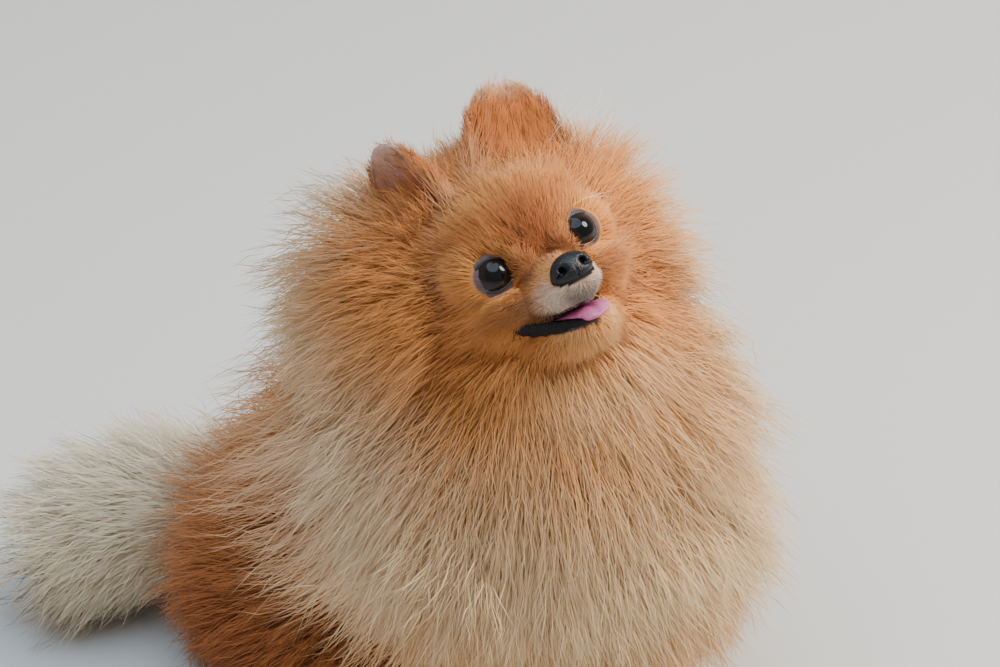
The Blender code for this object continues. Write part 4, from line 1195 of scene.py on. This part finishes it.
def eyeball(side):
    """A ball with a cornea: radius = EYE_RADIUS - 0.1 mm + CORNEA * exp(-(angle from the axis / 0.62)^2)."""
    turn = ring_of(EYE_SIDES)[None, :]
    bulge = CORNEA * np.exp(-((EYE_FALL[:, None] / 0.62) ** 2))
    radius = EYE_RADIUS - 0.0001 + bulge + 0 * turn
    return EYE_PLACE * (side, 1, 1) + (radius[..., None] * directions(turn, EYE_FALL[:, None])) @ eye_axes(side)


def eye_colours():
    """Pupil, then iris, its dark rim and the white, by the angle from the axis."""
    fall = np.concatenate((np.repeat(EYE_FALL, EYE_SIDES), (0.0, math.pi)))
    colours = (0.002, 0.002, 0.003)
    for colour, start, end in (((0.014, 0.007, 0.005), 0.40, 0.46), ((0.006, 0.004, 0.004), 0.74, 0.86),
                               ((0.30, 0.25, 0.25), 0.92, 1.05)):
        colours = blend(colours, colour, smooth_step(fall, start, end))
    return colours


def lid_ring(side):
    """The lid: for each turn the profile runs over the ball from the opening's edge, at the angle whose sine
    is the opening's radius / EYE_RADIUS, outwards through LID_BAND."""
    share, height = np.array(LID_PROFILE).T[:, None, :]
    wide = OPENING[0] * np.cos(LID_TURN)
    tall = OPENING[1] * np.sin(LID_TURN) * (1 - 0.10 * np.abs(np.cos(LID_TURN)) ** 3)
    fold = FOLD * np.sin(LID_TURN * 9 + 1.0) * smooth_step(share, 0.3, 0.8)
    fall = np.arcsin(np.hypot(wide, tall) / EYE_RADIUS) + share * LID_BAND
    radius = EYE_RADIUS + height / 1000 + fold
    local = directions(np.arctan2(tall, wide), fall)
    return EYE_PLACE * (side, 1, 1) + (radius[..., None] * local) @ eye_axes(side)


print("directions of the left eye:", eye_axes(1).round(2).tolist())

# %% Both eyes
LID_EDGE = (0.012, 0.009, 0.010)
LID_HAIRLINE = (0.30, 0.130, 0.070)
EYE = hide("eye", 0.03, 0.30, 900, 2, 0.5, 1.5)
LID = bare_hide("lid", 0.45, 2500, 0.0001)


def ring_mesh(name, grid):
    """A closed ring from a grid that wraps both ways."""
    rows, sides = grid.shape[:2]
    i, j = np.meshgrid(np.arange(rows), np.arange(sides), indexing="ij")
    after, beside = (i + 1) % rows, (j + 1) % sides
    quads = np.stack((i * sides + j, after * sides + j, after * sides + beside, i * sides + beside), -1)
    return faced_out(object_from(name, grid.reshape(-1, 3), quads.reshape(-1, 4), ()))


def in_place(obj, material):
    moved_to(obj, points_of(obj).astype(float) + SHIFT)
    obj.data.materials.clear()
    obj.data.materials.append(material)
    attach(obj, "root")
    return obj


for side, word in ((1, "left"), (-1, "right")):
    ball_piece = joined_grids(f"eyeball_{word}", [to_room(eyeball(side))])
    paint(ball_piece, eye_colours())
    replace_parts(in_place(ball_piece, EYE), f"eye_{word}")
    lids = ring_mesh(f"lids_{word}", to_room(lid_ring(side)))
    share = np.array(LID_PROFILE)[None, :, 0]
    lash_line = 0.08 * np.maximum(np.sin(LID_TURN), 0)
    band = blend(LID_EDGE, LID_SKIN, smooth_step(share - lash_line, 0.10, 0.30))
    paint(lids, blend(band, LID_HAIRLINE, smooth_step(share, 0.38, 0.72)).reshape(-1, 3))
    in_place(lids, LID)
print("eye opening, mm:", [round(2000 * size, 1) for size in OPENING])

# %% [markdown]
# ## The nose
# The nose leather is black, pebbled and moist. Its two nostrils are commas: a round hole with a slit running
# out to the side. One ellipsoid is enough to start from, and the holes, slits and the groove down the middle
# are pressed into it as soft dents, each a bell-shaped push towards the nose's inside.

# %% Nose
NOSE_HALF = np.array((0.0094, 0.0068, 0.0074))
DENTS = (  # x, z from the nose's centre, half sizes, depth
    (0.0048, 0.0014, 0.0014, 0.0014, 0.0042),
    (0.0068, -0.0002, 0.0018, 0.0006, 0.0020),
    (0.0000, -0.0040, 0.0004, 0.0034, 0.0010),
)


def nose_grid():
    """An ellipsoid, narrower below as (z / half)^2 * 0.3, whose front is pushed back by the sum of
    depth * exp(-(dx / half)^2 - (dz / half)^2) over the dents."""
    grid = ball((0, 0, 0), (1, 1, 1), 96, 64)
    grid = np.stack((grid[..., 2], grid[..., 0], grid[..., 1]), axis=-1)  # the poles lie across, out of sight
    places = grid * NOSE_HALF
    places[..., 0] *= 1 - 0.30 * np.minimum(grid[..., 2], 0) ** 2
    push = np.zeros(places.shape[:2])
    for x, z, wide, tall, deep in DENTS:
        for side in (1, -1):
            share = 0.5 if x == 0 else 1.0
            off = ((places[..., 0] - side * x) / wide) ** 2 + ((places[..., 2] - z) / tall) ** 2
            push += share * deep * np.exp(-off)
    push *= smooth_step(-places[..., 1], 0.0, 0.002)
    places[..., 1] += push
    return NOSE_CENTRE + places, push


nose_places, nose_push = nose_grid()
nose = joined_grids("nose_leather", [to_room(nose_places)])
# The pushed-in leather is painted darker: painted shade in the nostrils
tone = np.append(1 - 0.85 * smooth_step(nose_push.ravel(), 0.0006, 0.0022), (1.0, 1.0))
paint(nose, np.array((0.006, 0.006, 0.008)) * tone[:, None])
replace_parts(in_place(nose, bare_hide("nose_leather", 0.30, 1500, 0.00022, 0.4)), "nose")
print("nose, mm:", (NOSE_HALF * 2000).round(1))

# %% [markdown]
# ## Lips and tongue
# The lower lip is a black, bare roll that shows as a dark band below the white fur of the upper one. It
# runs round the jaw's edge and rises to the corners of the mouth, as in a smile. An oval profile is carried
# along that line. The tongue is a flat tube with a groove, bent over the lip.

# %% Lips and tongue
TONGUE = (  # centre x, y, z, half width, half thickness
    (0.000, -0.0250, -0.0226, 0.0080, 0.0010),
    (0.000, -0.0370, -0.0242, 0.0084, 0.0014),
    (0.001, -0.0455, -0.0252, 0.0082, 0.0018),
    (0.002, -0.0505, -0.0264, 0.0074, 0.0018),
    (0.002, -0.0530, -0.0290, 0.0058, 0.0015),
)
GROOVE_DEPTH, GROOVE_HALF = 0.0009, 0.0014


def tongue_grid():
    """The tube of its sections, whose upper side dips by GROOVE_DEPTH * exp(-(x / GROOVE_HALF)^2)."""
    grid = tube(TONGUE, 40, 10)
    off = grid - grid.mean(axis=1, keepdims=True)
    grid[..., 2] -= GROOVE_DEPTH * np.exp(-((off[..., 0] / GROOVE_HALF) ** 2)) * (off[..., 2] > 0)
    return grid


roll = tube(lip_line(), 16, 2, across=(0, 0, 1))
middle = roll.mean(axis=1, keepdims=True)
crimp = 1 + 0.10 * np.sin(np.arange(len(roll)) * 0.9) + 0.06 * np.sin(np.arange(len(roll)) * 2.3)
lip = joined_grids("lower_lip", [to_room(middle + (roll - middle) * crimp[:, None, None])])
paint(lip, (0.009, 0.007, 0.007))
in_place(lip, bare_hide("lip", 0.60, 1300, 0.0005, 0.22))
tongue = joined_grids("tongue_flesh", [to_room(tongue_grid())])
paint(tongue, (0.50, 0.11, 0.26))
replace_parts(in_place(tongue, bare_hide("tongue", 0.30, 3200, 0.00012)), "tongue")
print("lips and tongue in place")

# %% [markdown]
# ## The ears
# The ears are small, rounded triangles of thin skin, cupped like a leaf. The left one stands facing forwards.
# The right one is turned out, so that its edge and its hollow show. Both wear short hair, which thins out at
# the tip until grey-pink skin shows. A leaf could be a bent plane with thickness. A grid with an outer and an
# inner arc gives the rim a true edge instead.

# %% Ears
EAR_BASE = {1: (0.0210, 0.010, 0.024), -1: (-0.0270, 0.014, 0.022)}
EAR_LEAN = {1: math.radians(14), -1: math.radians(-2)}
EAR_TURN = {1: math.radians(14), -1: math.radians(-72)}
EAR_CUP = {1: 0.55, -1: 0.85}
EAR_HEIGHT = 0.055
EAR_HALF_WIDTH = 0.0262
EAR_DEPTH = 0.0135
EAR_WALL = 0.0026
EAR_TILT = math.radians(-4)
EAR_ARC = np.radians(np.linspace(-96, 96, 41))
EAR_LEVELS = np.linspace(0, 0.992, 40)
DUSKY_PURPLE = (0.30, 0.085, 0.105)


def turned_about(axis, angle):
    """The matrix of a turn about x, y or z."""
    return np.array(Matrix.Rotation(angle, 3, axis))


def ear_turn(side):
    """The ear's own frame, x across, y to its back, z to its tip, as a turn of the head's."""
    return (turned_about("X", EAR_TILT) @ turned_about("Y", side * EAR_LEAN[side])
            @ turned_about("Z", EAR_TURN[side]))


def ear_grid(side):
    """Half ovals: x = half * sin(a), y = deep * cos(a), both narrowed by sqrt(1 - level^2.4) to the tip. The
    inner arc lies a wall's thickness inside the outer one and is flatter by the cup."""
    level = EAR_LEVELS[:, None]
    arc = EAR_ARC[None, :]
    taper = np.sqrt(1 - level**2.4)
    half = EAR_HALF_WIDTH * (1 - 0.10 * level) * taper
    deep = EAR_DEPTH * (1 - 0.55 * level) * taper
    wall = np.minimum(EAR_WALL, half * 0.4)
    height = level * EAR_HEIGHT + 0 * arc
    outer = np.stack((half * np.sin(arc), deep * np.cos(arc), height), axis=-1)
    back = arc[:, ::-1]
    inner = np.stack(((half - wall) * np.sin(back), EAR_CUP[side] * (deep - wall) * np.cos(back), height), axis=-1)
    return np.concatenate((outer, inner), axis=1)


def ear_colours(level, hollow, side):
    """Orange under the fur and a bare grey-pink band round the tip. In the right ear's hollow the skin
    shows: pale pink near the tip, and a dusky purple lower down."""
    colours = blend(np.array(ORANGE) * 0.7, np.array(SKIN_PINK) * 1.15, smooth_step(level, 0.84, 0.94))
    if side == 1:
        return colours
    return blend(colours, blend(SKIN_PINK, DUSKY_PURPLE, smooth_step(level, 0.75, 0.45)), hollow)


print("ear grid:", ear_grid(1).shape)

# %% The ears' fur, and both ears
EAR_ROOTS = 10000
EAR_LOCK = 0.00032  # the width of its locks


def ear_fur(ear, side, turn, base):
    """Roots on the ear with their normals, places on the map, rise and sweep. Hair runs up the ear and out
    from its middle, grows longer low in the hollow, and thins out where the skin shows."""
    back_out = np.linalg.inv(turn)
    roots, normals, uv = scattered(ear.data, EAR_ROOTS)
    local = (to_head(roots) - base) @ back_out.T
    level = np.clip(local[:, 2] / EAR_HEIGHT, 0, 1)
    facing = (normals @ HEAD_AXES.T) @ back_out.T
    hollow = smooth_step(-facing[:, 1], 0.1, 0.5)
    thin = smooth_step(level, 0.84, 0.98) * 0.85 + (0.85 * hollow if side < 0 else 0)
    keep = rng.random(len(level)) > thin
    roots, normals, uv, level, hollow, local = (every[keep] for every in (roots, normals, uv, level, hollow, local))
    towards = np.stack((local[:, 0] * (14 - 26 * hollow), np.zeros(len(local)), np.full(len(local), 0.8)), axis=1)
    towards = tangent_to((base + towards @ turn.T) @ HEAD_AXES - base @ HEAD_AXES, normals)
    low, rim = 1 - level, np.abs(local[:, 0]) / EAR_HALF_WIDTH
    long = (0.0095 - 0.0056 * level + 0.008 * hollow * low + 0.005 * rim * low)[:, None]
    out = normals * long * (0.30 + 0.30 * hollow * low)[:, None] + towards * long * 0.30
    over = towards * long * 0.70 + normals * long * 0.10
    return roots, normals, uv, out, strayed(over, 0.14)


ear_triangles = 0
for side, word in ((1, "left"), (-1, "right")):
    turn, base = ear_turn(side), np.asarray(EAR_BASE[side])
    ear = joined_grids(f"ear_{word}_skin", [to_room(base + ear_grid(side) @ turn.T)])
    unwrapped(ear)
    ear_roots, ear_normals, ear_uv, out, over = ear_fur(ear, side, turn, base)

    def ear_hair(places, along, base=base, back_out=np.linalg.inv(turn)):
        """Hair colour on the ear: red-brown to deep orange, with paler hair at its sides and its tip."""
        spot = (to_head(places) - base) @ back_out.T
        edge = smooth_step(np.abs(spot[:, 0]) / EAR_HALF_WIDTH, 0.7, 1.1) * 0.3
        up = smooth_step(np.clip(spot[:, 2] / EAR_HEIGHT, 0, 1), 0.7, 1.0) * 0.5
        hair = blend(RED_BROWN, np.array(DEEP_ORANGE) * 0.85, along)
        return blend(hair, CREAM, np.maximum(edge, up) * (0.4 + 0.6 * along))

    lit = unit(ear_normals + np.array((-0.1, -0.5, 0.9)))
    ear_triangles += plant(f"coat_ear_{word}", "coat_orange", ear_roots, lit, ear_uv, out, over, EAR_LOCK,
                           SHORT_RINGS, 0.004, 0.30, 0, ear_hair)
    around = len(EAR_ARC)
    levels = np.append(np.repeat(EAR_LEVELS, 2 * around), (0.0, 1.0))
    inner = np.append(np.tile(np.repeat((0.0, 1.0), around), len(EAR_LEVELS)), (0.0, 0.0))
    paint(ear, ear_colours(levels, inner, side))
    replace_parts(in_place(ear, bare_hide(f"ear_{word}", 0.6, 1400, 0.0002)), f"ear_{word}")
print("triangles in the ears' hair:", ear_triangles)
coat_triangles += ear_triangles

# %% [markdown]
# ## Claws and whiskers
# Each toe ends in a dark, bent claw that narrows to a point just off the floor. The whiskers and the few brow
# hairs are single stiff hairs, several times as long as the fur around them.

# %% Claws


CLAW_LENGTH, CLAW_FALL, CLAW_RADIUS, CLAW_POINT = 0.0062, 0.0026, 0.0012, 0.0001


def claw_grid(place):
    """A bent cone: y = -6.2 mm * t, z falls by 2.6 mm * t*t, radius = 1.2 mm * sqrt(1 - t) + 0.1 mm."""
    t = np.linspace(0, 1, 9)[:, None]
    turn = ring_of(10)[None, :]
    radius = CLAW_RADIUS * np.sqrt(1 - t) + CLAW_POINT
    x = radius * 0.8 * np.cos(turn)
    y = -CLAW_LENGTH * t + 0 * turn
    z = np.maximum(-CLAW_FALL * t * t + radius * np.sin(turn), 0.0003 - place[2])  # clear of the floor
    return place + np.stack((x, y, z), axis=-1)


claws = []
for side in (1, -1):
    for rows in (HIND_FOOT, FORELEG):
        claws += [claw_grid(place + (0, -0.0046, -0.0008)) for place in toe_places(rows, side)]
claws = joined_grids("claws", claws)
paint(claws, (0.050, 0.036, 0.030))
in_place(claws, bare_hide("claw", 0.40, 900, 0.00008))
print("claws:", len(claws.data.vertices), "points")

# %% Whiskers
WHISKERS = 20


def random_rows(count, *ranges):
    """Random vectors: each range gives one coordinate, and an array of coordinates stays as it is."""
    return np.stack([rng.uniform(*r, count) if isinstance(r, tuple) else r for r in ranges], axis=1)


def single_hairs(name, slot, start, lead, trail, long, width, clump, cling, root, tip):
    """Plants hairs one by one, which start along the lead and end along the trail, shaded from root to tip."""
    return plant(name, slot, to_room(start), lead @ HEAD_AXES, np.full((len(start), 2), 0.5),
                 (lead * long * 0.5) @ HEAD_AXES, (trail * long * 0.6) @ HEAD_AXES, width, LONG_RINGS, clump,
                 cling, 0, lambda places, along: blend(root, tip, along))


side = np.where(np.arange(WHISKERS) % 2 == 0, 1.0, -1.0)
start = random_rows(WHISKERS, (0.009, 0.0145), (-0.050, -0.036), (-0.017, -0.009))
start[:, 0] *= side  # every second whisker grows on the right
lead = unit(random_rows(WHISKERS, side, (-0.35, 0.25), (-0.25, 0.45)))
trail = unit(random_rows(WHISKERS, side, (0.2, 0.9), (-0.1, 0.6)))
long = rng.uniform(0.020, 0.036, WHISKERS)[:, None]
single_hairs("whiskers", "nose_black", start, lead, trail, long, 0.00024, 0.002, 0.0, (0.05, 0.030, 0.022),
             (0.26, 0.15, 0.10))

# %% Long wisps behind the ears, and pale brow hairs
WISPS = 150
side = np.where(np.arange(WISPS) % 3 == 0, -1.0, 1.0)  # one in three on the right
start = random_rows(WISPS, (0.016, 0.046), (0.014, 0.034), (0.016, 0.040))
start[:, 0] *= side
lead = random_rows(WISPS, (0.5, 1.2), (-0.3, 0.5), (0.3, 1.1))
lead[:, 0] *= side
lead = unit(lead)
trail = unit(lead + random_rows(WISPS, side * 0.5, (0, 0.7), (-0.6, 0.2)))
long = rng.uniform(0.034, 0.056, WISPS)[:, None]
brow_start = ((0.0190, -0.0360, 0.0150), (0.0175, -0.0365, 0.0145))
brow_lead = unit(np.array(((1.0, -0.45, 0.10), (0.9, -0.45, 0.30))))
brow_trail = unit(np.array(((1.0, 0.35, -0.80), (1.0, 0.30, -0.50))))
start, lead, trail = (np.vstack(pair) for pair in ((start, brow_start), (lead, brow_lead), (trail, brow_trail)))
long = np.vstack((long, np.full((2, 1), 0.022)))
coat_triangles += single_hairs("wisps", "coat_cream", start, lead, trail, long, 0.00022, 0.006, 0.1, PALE_ORANGE,
                               WHITE_CREAM)

# %% [markdown]
# ## The studio
# A pale floor, a large soft light from the upper right as in the picture, a cooler one from the left for the
# sky's glint in the eyes, and a dim, even surround. The camera looks down at the dog from its right side.

# %% Floor, lights and camera
floor = object_from("floor", ((-4, -4, 0), (4, -4, 0), (4, 4, 0), (-4, 4, 0)), ((0, 1, 2, 3),), ())
floor_finish = bpy.data.materials.new("floor")
floor_finish.use_nodes = True
inputs = floor_finish.node_tree.nodes["Principled BSDF"].inputs
inputs["Base Color"].default_value = (0.60, 0.585, 0.555, 1)
inputs["Roughness"].default_value = 0.9
floor.data.materials.append(floor_finish)


def axes_at(right, up, back, place):
    """A matrix whose columns are three directions and a place."""
    matrix = np.eye(4)
    matrix[:3] = np.stack((right, up, back, place), axis=1)
    return Matrix(matrix.tolist())


def softbox(name, place, target, size, power, colour):
    """A round light of the given size, aimed at a point."""
    data = bpy.data.lights.new(name, "AREA")
    data.shape, data.energy, data.size, data.color = "DISK", power, size, colour
    back = unit(np.array(place, float) - np.array(target, float))
    right = unit(np.cross((0, 0, 1.0), back))
    linked(name, data).matrix_world = axes_at(right, np.cross(back, right), back, place)


softbox("key", (0.80, -1.30, 1.80), (0, 0, 0.15), 1.2, 84, (1.0, 0.92, 0.80))
softbox("sky", (-0.30, 0.00, 2.0), (0, 0, 0.15), 2.2, 42, (0.56, 0.76, 1.0))
world = bpy.data.worlds.new("studio")
bpy.context.scene.world = world
world.use_nodes = True
surround = world.node_tree.nodes["Background"].inputs
surround["Color"].default_value = (0.97, 0.93, 0.88, 1)
surround["Strength"].default_value = 0.50
VIEW_RIGHT = np.array((0.530, -0.848, 0.0))
VIEW_UP = np.array((0.424, 0.265, 0.866))
VIEW_BACK = np.array((-0.734, -0.459, 0.500))
AIM = np.array((0.0043, -0.0212, 0.183))
DISTANCE = 1.5
camera = linked("camera", bpy.data.cameras.new("camera"))
camera.data.lens, camera.data.sensor_width = 126.8, 36
camera.matrix_world = axes_at(VIEW_RIGHT, VIEW_UP, VIEW_BACK, AIM + SHIFT + VIEW_BACK * DISTANCE)
bpy.context.scene.camera = camera
print("the camera's distance, m:", DISTANCE)

# %% [markdown]
# The coat may stand a few millimetres proud of the solids, and no more.

# %% Print the coat's triangles, and finish
print("triangles in the coat:", coat_triangles)
